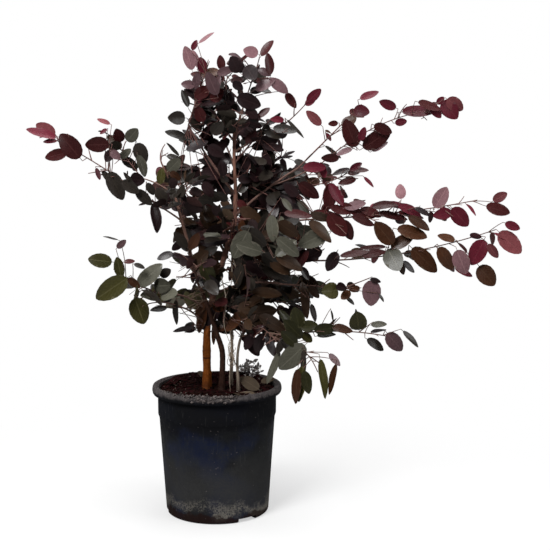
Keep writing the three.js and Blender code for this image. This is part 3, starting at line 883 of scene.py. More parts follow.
def ring_faces(rings: int, sides: int) -> tuple[Point, Point]:
    """Join closed rings of vertices in a row, and close both ends to a vertex in their middle.

    Args:
        rings: how many rings.
        sides: vertices in each ring. The two middles come after the last ring.

    Returns:
        The quads and the triangles.
    """
    around = np.arange(sides)
    after = (around + 1) % sides
    low = np.arange(rings - 1)[:, None] * sides
    quads = np.stack([low + around, low + after, low + sides + after, low + sides + around], axis=2)
    ends = ((after, around, rings * sides), ((rings - 1) * sides + around, (rings - 1) * sides + after,
                                             rings * sides + 1))
    tris = [np.stack([first, second, np.full(sides, middle)], axis=1) for first, second, middle in ends]
    return quads.reshape(-1, 4), np.concatenate(tris)


BLOCK = np.array([[x, y, z] for x in (-1, 1) for y in (-1, 1) for z in (-1, 1)], float)
BLOCK_QUADS = np.array([[0, 1, 3, 2], [4, 6, 7, 5], [0, 4, 5, 1], [2, 3, 7, 6], [0, 2, 6, 4], [1, 5, 7, 3]])
LUMP = np.array([(1, 0, 0), (-1, 0, 0), (0, 1, 0), (0, -1, 0), (0, 0, 1), (0, 0, -1)])
LUMP_TRIS = np.array([[0, 2, 4], [2, 1, 4], [1, 3, 4], [3, 0, 4], [2, 0, 5], [1, 2, 5], [3, 1, 5], [0, 3, 5]])


@dataclass
class Pot:
    """The nursery pot: a turned plastic shell with a rolled rim, a stepped band and drain notches."""

    effects: Effects
    height: float = 219.0
    rim_radius: float = 110.0
    rim_drop: float = 14.5
    rim_round: float = 3.2
    rim_turn: float = 62.0
    band_radius: float = 100.6
    band_bottom: float = 167.5
    wall_top_radius: float = 98.4
    foot_radius: float = 87.8
    foot_round: Pair = (3.3, 3.6)
    flat_radius: float = 84.4
    wall: float = 2.2
    hidden_floor: float = 12.0
    segments: int = 144
    notch_count: int = 3
    first_notch: float = 305.0
    notch_width: float = 36.0
    notch_height: float = 6.5
    notch_inner: float = 68.0
    notch_below: float = 4.0
    warp: float = 0.45
    worn: float = 0.25
    clearance: float = 0.12
    sharp_angle: float = 38.0

    def profile(self) -> list[Pair]:
        """Work out the outline that is turned, with the moulding's small steps in millimetres.

        Returns:
            Its points, as radius and height, from the flat foot round to the inner floor.
        """
        top, band, rim = self.height, self.band_bottom, self.rim_radius
        under_rim = top - self.rim_drop
        inner_band = self.band_radius - self.wall
        lip = [(rim + self.rim_round * (math.cos(a) - 1), top + self.rim_drop * (math.sin(a) - 1) / 2)
               for a in np.radians(np.linspace(-self.rim_turn, self.rim_turn, 9))]
        foot = [(self.flat_radius + self.foot_round[0] * math.sin(a), self.foot_round[1] * (1 - math.cos(a)))
                for a in np.radians(np.linspace(12, 84, 5))]
        walls = [(self.foot_radius + (self.wall_top_radius - self.foot_radius) * t, 4 + (band - 8) * t)
                 for t in np.linspace(0.02, 1, 14)]
        step = [(self.wall_top_radius + 0.4, band - 2.6), (self.band_radius - 0.9, band - 0.2),
                (self.band_radius - 0.3, band + 1.6)]
        rise = [(self.band_radius, z) for z in (band + 3, band + 14, band + 26, under_rim - 2.5)]
        under = [(self.band_radius + 0.6, under_rim - 0.6), (rim - 4.2, under_rim + 0.2)]
        inner = [(rim - 4.6, top - 0.3), (rim - 6.4, top - 0.4), (inner_band + 0.6, top - 2.6),
                 (inner_band, top - 5.5), (inner_band, band + 2),
                 (self.wall_top_radius - self.wall, band - 6),
                 (self.foot_radius - self.wall, self.hidden_floor)]
        return [(0.0, 0.0), (self.flat_radius - 1, 0.0), *foot, *walls, *step, *rise, *under, *lip, *inner,
                (0.0, self.hidden_floor)]

    def shell(self) -> Object:
        """Turn the outline, a little out of round as thin plastic is.

        Returns:
            The object.
        """
        outline = self.profile()
        angles = np.linspace(0, 2 * math.pi, self.segments, endpoint=False)
        level = np.stack([np.cos(angles), np.sin(angles)], axis=1)
        rows = []
        for radius, z in outline[1:-1]:
            share = (z / self.height) ** 2
            bulge = np.sin(2 * angles + 0.6) + 0.5 * np.sin(5 * angles + z * 0.01)
            worn = np.array([noise.noise(Vector((x * 9, y * 9, z * 0.3))) for x, y in level])
            ring = radius + self.warp * share * bulge - self.clearance + self.worn * share * worn
            rows.append(np.append(level * ring[:, None], np.full((self.segments, 1), z), axis=1))
        vertices = np.concatenate([*rows, [[0.0, 0.0, outline[0][1]], [0.0, 0.0, outline[-1][1]]]])
        maker = MeshMaker()
        maker.add(vertices, *ring_faces(len(rows), self.segments))
        return maker.build("nursery_pot", [])

    def cutter(self) -> Object:
        """Make the blocks that stand where the drain notches are cut.

        Returns:
            One object of them all.
        """
        maker = MeshMaker()
        sides = np.array([[self.notch_inner, -self.notch_width / 2, -self.notch_below],
                          [self.rim_radius, self.notch_width / 2, self.notch_height]])
        corners = sides.mean(axis=0) + BLOCK * (sides[1] - sides[0]) / 2
        for angle in np.radians(self.first_notch + np.arange(self.notch_count) * 360 / self.notch_count):
            maker.add(np.array([turned(corner, UP, angle) for corner in corners]), BLOCK_QUADS)
        return maker.build("notch_blocks", [])

    def build(self) -> None:
        """Build, cut and dress the pot."""
        shell, blocks = self.shell(), self.cutter()
        cut = shell.modifiers.new("notches", "BOOLEAN")
        cut.object = blocks
        cut.operation = "DIFFERENCE"
        cut.solver = "EXACT"
        mesh = bpy.data.meshes.new_from_object(shell.evaluated_get(bpy.context.evaluated_depsgraph_get()))
        shell.modifiers.clear()
        shell.data = mesh
        mesh.name = "nursery_pot"
        bpy.data.objects.remove(blocks)
        mesh.materials.clear()
        mesh.materials.append(PotFinish().build(self.effects))
        mesh.set_sharp_from_angle(angle=math.radians(self.sharp_angle))
        dress(shell, "pot", "pot")


@dataclass(frozen=True)
class Crumbs:
    """One kind of angular crumb on the mix."""

    name: str
    finish: CrumbFinish
    count: int
    seed: int
    sizes: Pair
    flatness: float
    inner: float


@dataclass
class PottingMix:
    """The heaped mix in the pot, with bark chips, grit, fallen leaves and a tuft of moss."""

    effects: Effects
    crown_height: float = 210.5
    crown_radius: float = 52.0
    shoulder_radius: float = 78.0
    shoulder_height: float = 209.5
    edge_radius: float = 99.2
    edge_height: float = 208.0
    foot_radius: float = 80.0
    foot_height: float = 13.0
    rings: int = 46
    segments: int = 140
    lumps: tuple[Place, ...] = ((2.6, 0.05, 1.5), (1.5, 0.16, 7.0), (1.0, 0.45, 3.0))
    heap: float = 10.5
    heap_from: float = 8.0
    heap_run: float = 78.0
    soil: CrumbFinish = CrumbFinish("damp_mix", (0.0078, 0.0009, 0.0010), (0.0290, 0.0036, 0.0046))
    dirt: CrumbFinish = CrumbFinish("dried_dirt", (0.062, 0.052, 0.050), (0.20, 0.17, 0.16), 500.0, 0.95)
    crumbs: tuple[Crumbs, ...] = (
        Crumbs("bark_chips", CrumbFinish("bark_chip", (0.005, 0.0012, 0.0009), (0.024, 0.007, 0.0045), 420.0),
               760, 41, (3.0, 11.0), 0.22, 0.0),
        Crumbs("pale_grit", CrumbFinish("pale_grit", (0.10, 0.085, 0.07), (0.34, 0.31, 0.27), 600.0, 0.95),
               90, 42, (1.2, 3.6), 0.7, 20.0),
    )
    rim_top: float = 218.6
    rim_middle: float = 106.5
    rim_reach: Pair = (101.5, 109.5)
    rim_crumbs: int = 300
    smallest_crumb: float = 0.8
    crumb_growth: float = 3.6
    dirt_from: float = 196.0
    dirt_to: float = 322.0
    clods: int = 56
    clods_from: float = 240.0
    clods_to: float = 284.0
    clod_half: Pair = (1.6, 4.4)
    lip: Pair = (106.8, 211.7)
    lip_round: Pair = (3.4, 7.4)
    view: Viewpoint = Viewpoint()
    fallen: tuple[tuple[float, float, float, float, float], ...] = (
        (18, -62, 24, 330, 10), (-70, 12, 22, 120, 10), (-30, 48, 30, 70, 14), (74, 20, 28, 15, 20),
        (-8, 66, 24, 250, 12),
    )
    leaning: tuple[tuple[Pair, Pair, float, float], ...] = (
        ((261, 391), (240, 377), 16.0, 12.5), ((258, 393), (230, 395), -14.0, 6.0),
    )
    moss_place: Pair = (58.0, 74.0)
    moss_spread: Pair = (1.35, 0.7)
    moss_radius: float = 15.0
    moss_height: float = 32.0
    moss_slope: float = 22.0
    moss_leaves: int = 120
    lit_moss_leaf: Pair = (5.0, 11.0)
    litter_seed: int = 771
    dirt_seed: int = 43

    def surface_height(self, x: float, y: float) -> float:
        """Work out how high the mix lies at a place.

        Args:
            x: millimetres to the right.
            y: millimetres to the back.

        Returns:
            Its height.
        """
        radii = [0, self.crown_radius, self.shoulder_radius, self.edge_radius]
        heights = [self.crown_height, self.crown_height, self.shoulder_height, self.edge_height]
        level = float(np.interp(math.hypot(x, y), radii, heights))
        lumps = sum(size * noise.noise(Vector((x * fine, y * fine, z))) for size, fine, z in self.lumps)
        behind = min(max((y - self.heap_from) / self.heap_run, 0.0), 1.0)
        uneven = 1.0 + 0.35 * noise.noise(Vector((x * 0.06, 2, 5)))
        return level + lumps + self.heap * behind * behind * (3 - 2 * behind) * uneven

    def shown_at(self, pixel: Pair) -> Point:
        """Find the point of the mix that a pixel of the photograph shows.

        Args:
            pixel: across and down.

        Returns:
            The point.
        """
        for depth in np.arange(4 - self.edge_radius, self.edge_radius):
            point = self.view.point_at(pixel, depth)
            if point[2] < self.surface_height(point[0], point[1]) + 1.5:
                break
        return point

    def build_ground(self) -> None:
        """Build the mix itself, down to the pot's floor."""
        angles = np.linspace(0, 2 * math.pi, self.segments, endpoint=False)
        level = np.stack([np.cos(angles), np.sin(angles)], axis=1)
        rings = [level * (self.edge_radius * k / self.rings) for k in range(1, self.rings + 1)]
        rows = [np.array([[x, y, self.surface_height(x, y)] for x, y in ring]) for ring in rings]
        foot = np.append(level * self.foot_radius, np.full((self.segments, 1), self.foot_height), axis=1)
        middles = [[0, 0, self.surface_height(0, 0)], [0, 0, self.foot_height]]
        quads, tris = ring_faces(self.rings + 1, self.segments)
        maker = MeshMaker()
        maker.add(np.concatenate([*rows, foot, middles]), quads[:, [0, 3, 2, 1]], tris[:, [1, 0, 2]])
        dress(maker.build("potting_mix_bed", [self.soil.build()]), "mix", "potting_mix")

    def scatter(self, crumbs: Crumbs) -> None:
        """Scatter angular crumbs over the mix.

        Args:
            crumbs: their kind.
        """
        maker, draws = MeshMaker(), Draws(crumbs.seed)
        for _ in range(crumbs.count):
            radius = crumbs.inner + (self.edge_radius - 4 - crumbs.inner) * math.sqrt(draws.next())
            angle = draws.between(0, 2 * math.pi)
            x, y = radius * math.cos(angle), radius * math.sin(angle)
            long = draws.between(*crumbs.sizes)
            wide, thick = long * draws.between(0.3, 0.7), long * crumbs.flatness * draws.between(0.6, 1.4)
            uneven = [[draws.between(0.55, 1.1)] for _ in BLOCK]
            corners = BLOCK * (np.array([long, wide, thick]) / 2 * uneven)
            tilt, turn = draws.between(-0.5, 0.5), draws.between(0, 2 * math.pi)
            block = np.array([turned(turned(c, np.array([1.0, 0, 0]), tilt), UP, turn) for c in corners])
            block += [x, y, self.surface_height(x, y) + thick * 0.3]
            maker.add(block, BLOCK_QUADS, tone=draws.next())
        piece = maker.build(crumbs.name, [crumbs.finish.build()])
        piece.data.polygons.foreach_set("use_smooth", np.zeros(len(piece.data.polygons), bool))
        dress(piece, "mix")

    def build_litter(self) -> None:
        """Lay fallen leaves on the mix, and a tuft of moss at its back."""
        maker, shape, draws = MeshMaker(), LeafShape(), Draws(self.litter_seed)
        for x, y, size, compass, lift in self.fallen:
            root = np.array([x, y, self.surface_height(x, y) + 3.0])
            along = unit(heading_of(compass) + UP * math.sin(math.radians(lift)))
            normal = unit(UP + 0.5 * heading_of(compass + 90) * draws.between(-1, 1))
            shape.add_to(maker, root, along, normal, size, draws, curl=0.35)
        for stalk, tip, behind, half_width in self.leaning:
            root = self.shown_at(stalk)
            end = self.view.point_at(tip, root[1] + behind)
            size = float(np.linalg.norm(end - root))
            normal = unit(np.array(self.view.place) - root) + UP
            shape.add_to(maker, root, unit(end - root), normal, size, draws, 0.08, half_width)
        dress(maker.build("fallen_leaves", WITHERED.build(self.effects)), "mix")
        # The moss tuft, whose colour carries painted light against the crown's shade.
        moss = MeshMaker()
        for _ in range(self.moss_leaves):
            spread = self.moss_radius * math.sqrt(draws.next())
            angle = draws.between(0, 2 * math.pi)
            x = self.moss_place[0] + self.moss_spread[0] * spread * math.cos(angle)
            y = self.moss_place[1] + self.moss_spread[1] * spread * math.sin(angle)
            lift = draws.between(0, self.moss_height) * (1 - spread / self.moss_slope) - 1
            root = np.array([x, y, self.surface_height(x, y) + lift])
            along = unit(heading_of(draws.between(0, 360)) + UP * draws.between(0.2, 1.4))
            normal = unit(UP + heading_of(draws.between(0, 360)))
            shape.add_to(moss, root, along, normal, draws.between(*self.lit_moss_leaf), draws, curl=0.3)
        dress(moss.build("moss_tuft", LIT_MOSS.build(self.effects)), "mix")

    def build_rim_dirt(self) -> None:
        """Lay dried crumbs along the front of the rim, where mix was spilled, and clods on the lip's face."""
        maker, draws = MeshMaker(), Draws(self.dirt_seed)
        for _ in range(self.rim_crumbs):
            middle = (draws.next() + draws.next() + draws.next()) / 3
            angle = math.radians(self.dirt_from + (self.dirt_to - self.dirt_from) * middle)
            radius = draws.between(*self.rim_reach)
            size = self.smallest_crumb + self.crumb_growth * draws.next() ** 3
            half = size * np.array([1.0, draws.between(0.6, 1.2), draws.between(0.4, 0.8)])
            crumb = np.array([turned(c, UP, draws.between(0, 6)) for c in LUMP * half])
            top = self.rim_top - 0.12 * max(0.0, radius - self.rim_middle) ** 2
            crumb += [radius * math.cos(angle), radius * math.sin(angle), top + 0.3 * half[2]]
            maker.add(crumb, None, LUMP_TRIS, tone=draws.next())
        for _ in range(self.clods):
            angle = math.radians(draws.between(self.clods_from, self.clods_to))
            over = draws.between(-0.3, 1.5)
            radius = self.lip[0] + self.lip_round[0] * math.cos(over)
            top = self.lip[1] + self.lip_round[1] * math.sin(over)
            size = draws.between(*self.clod_half)
            half = size * np.array([0.5, draws.between(0.7, 1.5), draws.between(0.4, 0.8)])
            clod = np.array([turned(c, UP, angle + draws.between(-0.3, 0.3)) for c in LUMP * half])
            clod += [radius * math.cos(angle), radius * math.sin(angle), top]
            maker.add(clod, None, LUMP_TRIS, tone=draws.between(0.0, 0.7))
        dress(maker.build("rim_dirt", [self.dirt.build()]), "mix")

    def build(self) -> None:
        """Build the mix and all that lies on it."""
        self.build_ground()
        for crumbs in self.crumbs:
            self.scatter(crumbs)
        self.build_rim_dirt()
        self.build_litter()


@dataclass
class LeafShape:
    """An oval leaf on a short stalk: two thin faces that meet at the rim, folded along the midrib."""

    width: float = 0.66
    stalk: float = 0.11
    stalk_radius: float = 0.55
    thickness: float = 0.28
    rows: int = 8
    fold: float = 0.16
    base_round: float = 0.52
    tip_point: float = 0.66
    slimness: Pair = (0.42, 0.56)
    fold_range: Pair = (0.2, 1.6)
    bend_range: Pair = (0.2, 1.8)
    twist: float = 0.25
    ripple: float = 0.014
    ripples: float = 8.0
    across: tuple[float, ...] = (-1.0, -0.55, 0.0, 0.55, 1.0)
    grid: dict[str, Point] = field(default_factory=dict)

    def __post_init__(self) -> None:
        """Work out the outline and the faces once, for a leaf of length 1."""
        along = (1 - np.cos(np.pi * np.arange(1, self.rows) / self.rows)) / 2
        widest = self.base_round / (self.base_round + self.tip_point)
        fullest = widest**self.base_round * (1 - widest) ** self.tip_point
        half = along**self.base_round * (1 - along) ** self.tip_point / fullest
        count = len(self.across)
        sides = np.array(self.across)
        v = np.concatenate([[0.0], np.repeat(along, count), [1.0]])
        s = np.concatenate([[0.0], np.tile(sides, self.rows - 1), [0.0]])
        w = np.concatenate([[0.0], np.repeat(half, count), [0.0]])
        inner = (np.abs(s) < 0.99) & (w > 0)
        k = np.arange(count - 1)
        foot = np.stack([np.zeros_like(k), 1 + k + 1, 1 + k], axis=1)
        base = 1 + np.arange(self.rows - 2)[:, None] * count + k
        quads = np.stack([base, base + 1, base + count + 1, base + count], axis=2).reshape(-1, 4)
        last = 1 + (self.rows - 2) * count + k
        end = 1 + (self.rows - 1) * count
        tris = np.concatenate([foot, np.stack([last, last + 1, np.full_like(k, end)], axis=1)])
        uvs = np.stack([0.5 + 0.5 * s, v], axis=1)
        self.grid = {"v": v, "s": s, "w": w, "inner": inner, "quads": quads, "tris": tris, "uvs": uvs}

    def add_to(self, maker: MeshMaker, root: Point, along: Point, normal: Point, size: float, draws: Draws,
               curl: float = 0.1, half_width: float | None = None) -> None:
        """Add one leaf.

        Args:
            maker: where the leaf goes.
            root: where its stalk leaves the twig.
            along: unit vector from stalk to tip.
            normal: roughly the way that its upper face looks.
            size: length with its stalk.
            draws: its own draws.
            curl: how far its tip bends down, as a share of its length.
            half_width: half its width, or None for one that suits its length.
        """
        grid = self.grid
        normal = unit(normal - along * float(normal @ along))
        across = np.cross(along, normal)
        stalk = size * self.stalk
        length = size - stalk
        if half_width is None:
            half_width = length * self.width * draws.between(*self.slimness)
        v, s, w = grid["v"], grid["s"], grid["w"]
        fold = self.fold * draws.between(*self.fold_range)
        bend = curl * draws.between(*self.bend_range)
        twist = draws.between(-self.twist, self.twist)
        ripple = self.ripple * np.sin(v * self.ripples + draws.between(0, 6)) * np.abs(s)
        lift = w * half_width * (fold * np.abs(s) + twist * s * v) + length * (ripple - bend * v * v)
        middle = root + along * stalk
        out = along * (v * length)[:, None] + across * (s * w * half_width)[:, None]
        upper = middle + out + normal * lift[:, None]
        under = upper - normal * (self.thickness * grid["inner"])[:, None]
        tone = draws.next()
        maker.add(upper, grid["quads"], grid["tris"], grid["uvs"], 0, tone)
        maker.add(under, grid["quads"][:, ::-1], grid["tris"][:, ::-1], grid["uvs"], 1, tone)
        bends = [root, root + along * stalk * 0.5 - normal * 0.2, middle + along * length * 0.06]
        add_tube(maker, Path(np.array(bends)), lambda _: self.stalk_radius, 3, 2, slot=1, tone=tone)


@dataclass(frozen=True)
class Stem:
    """A stem that rises from the mix through the places where it bends."""

    name: str
    bends: tuple[Place, ...]
    foot: float
    tip: float
    flare: float
    bark: str


@dataclass(frozen=True)
class Bough:
    """A limb that leaves the side of another."""

    name: str
    parent: str
    at: float
    compass: float
    spread: float
    rise: float
    arch: float = 0.0
    bow: float = 0.0


class Form(Enum):
    """How leaves stand on a stem: the turn from one to the next and how much it varies."""

    FLAT = (math.pi, 0.9)
    ROUND = (math.radians(137.5), 0.3)


FRONT, BACK = -90.0, 90.0


@dataclass(frozen=True)
class Spray:
    """A mass of foliage that grows from one stem, on a limb's tip or side.

    Its leaves have the inner colours throughout where it names none for its tips.
    """

    name: str
    parent: str
    compass: float
    spread: float
    rise: float
    inner: Palette
    tips: Palette | None = None
    at: float = 1.0
    arch: float = 0.0
    bow: float = 0.0
    twig: float = 46.0
    gap: float = 16.0
    leaf: float = 36.0
    hang: float = 0.35
    shoots: float = 0.5
    fill: float = 1.0
    form: Form = Form.FLAT
    face: float = FRONT


MIX_TOP = 209.3
STEMS = (
    Stem("main_stem", ((-17, 0, MIX_TOP), (-15.5, 0, 320), (-6, 3, 367), (8, 6, 416), (20, 8, 457),
                       (30, 8, 485), (33, 8, 545), (31, 8, 600), (31, 8, 661)), 7.3, 2.0, 2.2, "main"),
    Stem("left_stem", ((7, -18, MIX_TOP), (9, -16, 276), (0, -17, 308), (-17, -18, 360), (-38, -18, 418),
                       (-46, -18, 457), (-58, -18, 502), (-71, -18, 549), (-87, -18, 588)),
         5.1, 1.5, 1.6, "dark"),
    Stem("back_stem", ((24, 15, MIX_TOP), (26, 18, 273), (27, 22, 316), (37, 28, 358), (39, 35, 392),
                       (32, 45, 429)), 2.8, 1.5, 1.2, "pale"),
    Stem("front_stem", ((36, -25, MIX_TOP), (35, -30, 278), (43, -41, 309), (66, -55, 332), (103, -66, 332),
                        (136, -75, 317)), 2.6, 1.4, 1.2, "pale"),
)
BOUGHS = (
    Bough("left_upper_bough", "left_stem", 0.76, 195, 38, 25, 1),
    Bough("left_crown_bough", "left_stem", 0.87, 142, 70, 27, 3, -3),
    Bough("top_left_bough", "main_stem", 0.74, 190, 79, 114, -7, 3),
    Bough("top_right_fork", "main_stem", 0.93, 334, 18, 60),
    Bough("top_right_bough", "main_stem", 0.89, 350, 44, 24, 2),
    Bough("right_upper_bough", "main_stem", 0.66, 342, 109, 81, 4, -4),
    Bough("right_outer_bough", "right_upper_bough", 0.62, 336, 87, 37, -3),
    Bough("mid_right_bough", "right_upper_bough", 0.31, 18, 83, 26),
    Bough("right_long_bough", "main_stem", 0.605, 339, 147, 23, 3, -3),
    Bough("right_lower_bough", "main_stem", 0.55, 329, 134, -20, 3),
    Bough("low_right_bough", "main_stem", 0.36, 335, 126, 24, 11, -6),
    Bough("front_right_bough", "front_stem", 0.47, 316, 118, -10, 14),
    Bough("low_left_bough", "main_stem", 0.29, 221, 94, 42, 10, 4),
    Bough("low_left_lower_bough", "main_stem", 0.24, 226, 63, 41, 6),
    Bough("back_left_bough", "main_stem", 0.52, 116, 110, 70, 2),
    Bough("back_right_bough", "main_stem", 0.69, 54, 128, 38, 4),
    Bough("back_upper_bough", "main_stem", 0.84, 104, 79, 51),
)
P = Palette
SPRAYS = (
    Spray("left_outer_spray", "left_upper_bough", 190, 165, 108, P.DUSKY, P.BRONZED, arch=4, bow=7, twig=48,
          hang=0.2, fill=0.3),
    Spray("left_crown_spray", "left_crown_bough", 160, 50, 66, P.DUSKY, arch=-4, twig=40, gap=11, fill=0.4),
    Spray("left_tip_spray", "left_stem", 76, 14, 36, P.DARK_CORE, P.DUSKY, bow=6, twig=28, gap=12, leaf=32),
    Spray("top_left_spray", "top_left_bough", 350, 36, 104, P.DARK_CORE, P.PINK_CROWN, bow=-3, twig=32,
          gap=11, form=Form.ROUND, leaf=31, fill=0.65),
    Spray("crown_left_spray", "main_stem", 130, 16, 76, P.DARK_CORE, P.WINE, bow=9, twig=44, gap=7,
          form=Form.ROUND, leaf=32, fill=0.8),
    Spray("crown_right_spray", "top_right_fork", 343, 24, 66, P.DARK_CORE, P.PINK_CROWN, twig=40, gap=10,
          form=Form.ROUND, leaf=32, fill=0.6),
    Spray("top_right_spray", "top_right_bough", 353, 74, 54, P.DARK_CORE, P.RED_TIPS, arch=-7, twig=40,
          gap=14, leaf=33, fill=0.45),
    Spray("right_upper_spray", "right_upper_bough", 355, 104, 104, P.WINE, P.RED_TIPS, twig=42, gap=15,
          hang=0.15, leaf=34, shoots=0.25, fill=0.3),
    Spray("right_outer_spray", "right_outer_bough", 356, 182, 84, P.WINE, P.ROSE_TIPS, arch=18, bow=-6,
          twig=42, gap=17, hang=0.1, fill=0.25),
    Spray("mid_right_spray", "mid_right_bough", 8, 84, 18, P.WINE, arch=-8, twig=44, gap=10, leaf=34,
          fill=0.6),
    Spray("right_long_spray", "right_long_bough", 352, 260, 32, P.BRONZED, P.ROSE_TIPS, arch=-5, bow=-6,
          gap=17, fill=0.3),
    Spray("right_lower_spray", "right_lower_bough", 352, 316, 52, P.BROWN_SHADE, P.ROSE_TIPS, arch=-14,
          bow=-7, gap=18, fill=0.3),
    Spray("low_right_spray", "low_right_bough", 347, 118, -5, P.DUSKY, twig=38, gap=13, fill=0.6),
    Spray("low_right_tip_spray", "front_stem", 349, 148, -3, P.LOW_BROWN, P.DUSKY, arch=6, twig=38, gap=15,
          hang=0.05, fill=0.4),
    Spray("front_right_spray", "front_right_bough", 316, 44, -28, P.LOW_BROWN, arch=12, twig=38, gap=8,
          hang=1.4, leaf=42, fill=0.12),
    Spray("front_low_spray", "front_stem", 296, 100, -6, P.DUSKY, at=0.55, arch=12, gap=11, leaf=40,
          hang=0.6, fill=0.6),
    Spray("low_left_spray", "low_left_bough", 212, 92, 46, P.OLIVE_SKIRT, P.OLIVE_TIPS, arch=-6, gap=13,
          leaf=46, hang=0.05, shoots=0.2, fill=0.25),
    Spray("low_left_lower_spray", "low_left_lower_bough", 216, 76, 8, P.OLIVE_SKIRT, P.OLIVE_TIPS, arch=7,
          twig=36, gap=13, hang=0.1, leaf=44, shoots=0.2, fill=0.3),
    Spray("low_centre_spray", "main_stem", 304, 84, 6, P.BROWN_SHADE, P.DUSKY, at=0.31, arch=6, twig=44,
          gap=9),
    Spray("low_right_inner_spray", "main_stem", 356, 150, -8, P.LOW_BROWN, P.DUSKY, at=0.33, arch=12,
          twig=48, gap=12),
    Spray("centre_left_spray", "main_stem", 150, 70, 60, P.DARK_CORE, at=0.79, arch=-8, twig=54, gap=7,
          form=Form.ROUND, shoots=0.8),
    Spray("centre_low_left_spray", "main_stem", 225, 74, 0, P.BROWN_SHADE, P.DUSKY, at=0.47, arch=14, gap=8),
    Spray("centre_right_spray", "main_stem", 17, 92, 40, P.DARK_CORE, at=0.8, arch=-6, twig=54, gap=7,
          form=Form.ROUND, shoots=0.8),
    Spray("centre_upper_right_spray", "main_stem", 356, 84, 22, P.DARK_CORE, at=0.76, arch=-5, twig=48,
          gap=8, form=Form.ROUND, shoots=0.8),
    Spray("centre_mid_spray", "main_stem", 150, 96, 34, P.BROWN_SHADE, P.DUSKY, at=0.58, arch=-6, twig=52,
          gap=8, form=Form.ROUND, shoots=0.8),
    Spray("centre_front_spray", "main_stem", 308, 132, 8, P.DUSKY, P.GREY_FRONT, at=0.57, bow=-11, twig=52,
          gap=10, leaf=42),
    Spray("centre_low_right_spray", "back_stem", 343, 125, -12, P.BROWN_SHADE, P.LOW_BROWN, at=0.88, twig=50,
          gap=11),
    Spray("centre_back_spray", "main_stem", 32, 110, 26, P.DARK_CORE, at=0.68, twig=56, gap=8,
          form=Form.ROUND, shoots=0.8, leaf=38),
    Spray("back_left_spray", "back_left_bough", 113, 130, 60, P.DUSKY, P.RED_TIPS, twig=54, gap=19,
          face=BACK, shoots=0.9, leaf=38),
    Spray("back_right_spray", "back_right_bough", 61, 150, 22, P.WINE, P.RED_TIPS, twig=54, gap=20,
          face=BACK, shoots=0.9, leaf=38),
    Spray("back_upper_spray", "back_upper_bough", 103, 84, 60, P.DARK_CORE, P.WINE, gap=16, face=BACK,
          shoots=0.9, leaf=36),
    Spray("back_low_left_spray", "main_stem", 104, 190, 40, P.OLIVE_SKIRT, P.OLIVE_TIPS, at=0.35, twig=54,
          gap=20, face=BACK, shoots=0.9, leaf=42),
    Spray("back_low_right_spray", "back_stem", 58, 190, 24, P.LOW_BROWN, P.GREY_FRONT, at=0.69, twig=54,
          gap=20, face=BACK, shoots=0.9, leaf=42),
    Spray("back_mid_spray", "back_stem", 88, 170, 90, P.BROWN_SHADE, P.WINE, twig=50, gap=20, face=BACK,
          shoots=0.9, leaf=38),
)
# Shoots without a solid of their own, where the photograph shows the crown fuller than the sprays make it.
INFILL = (
    Spray("upper_right_fill", "main_stem", 352, 58, 70, P.DARK_CORE, at=0.85, twig=30, gap=9, leaf=34),
    Spray("upper_left_fill", "main_stem", 215, 34, 40, P.DARK_CORE, at=0.93, twig=26, gap=9, leaf=32),
    Spray("long_bough_fill", "right_long_bough", 300, 62, -42, P.DUSKY, P.BRONZED, at=0.7, twig=30, gap=9,
          leaf=38),
    Spray("low_stem_fill", "main_stem", 218, 34, 2, P.DUSKY, P.DARK_CORE, at=0.25, twig=20, gap=9, leaf=28),
    Spray("crown_front_fill", "main_stem", 282, 46, 62, P.DARK_CORE, at=0.9, twig=30, gap=8, leaf=32,
          face=180),
    Spray("left_crown_front_fill", "left_stem", 288, 52, 48, P.DARK_CORE, P.DUSKY, at=0.8, twig=34, gap=8,
          leaf=33, face=180),
    Spray("middle_front_fill", "main_stem", 272, 84, 30, P.DARK_CORE, P.DUSKY, at=0.6, twig=36, gap=8,
          leaf=34, face=180),
    Spray("left_front_fill", "left_stem", 264, 80, 40, P.DUSKY, P.DARK_CORE, at=0.5, twig=36, gap=8, leaf=34,
          face=180),
    Spray("right_front_fill", "main_stem", 306, 112, 26, P.DUSKY, at=0.45, twig=38, gap=8, leaf=36, face=0),
    Spray("low_front_fill", "front_stem", 268, 74, 36, P.DUSKY, at=0.5, twig=34, gap=8, leaf=34, face=180),
)
GROWN = SPRAYS + INFILL


@dataclass
class Limb:
    """A grown stem or bough: its line and how thick it is along it."""

    path: Path
    radius_at: Callable[[float], float]


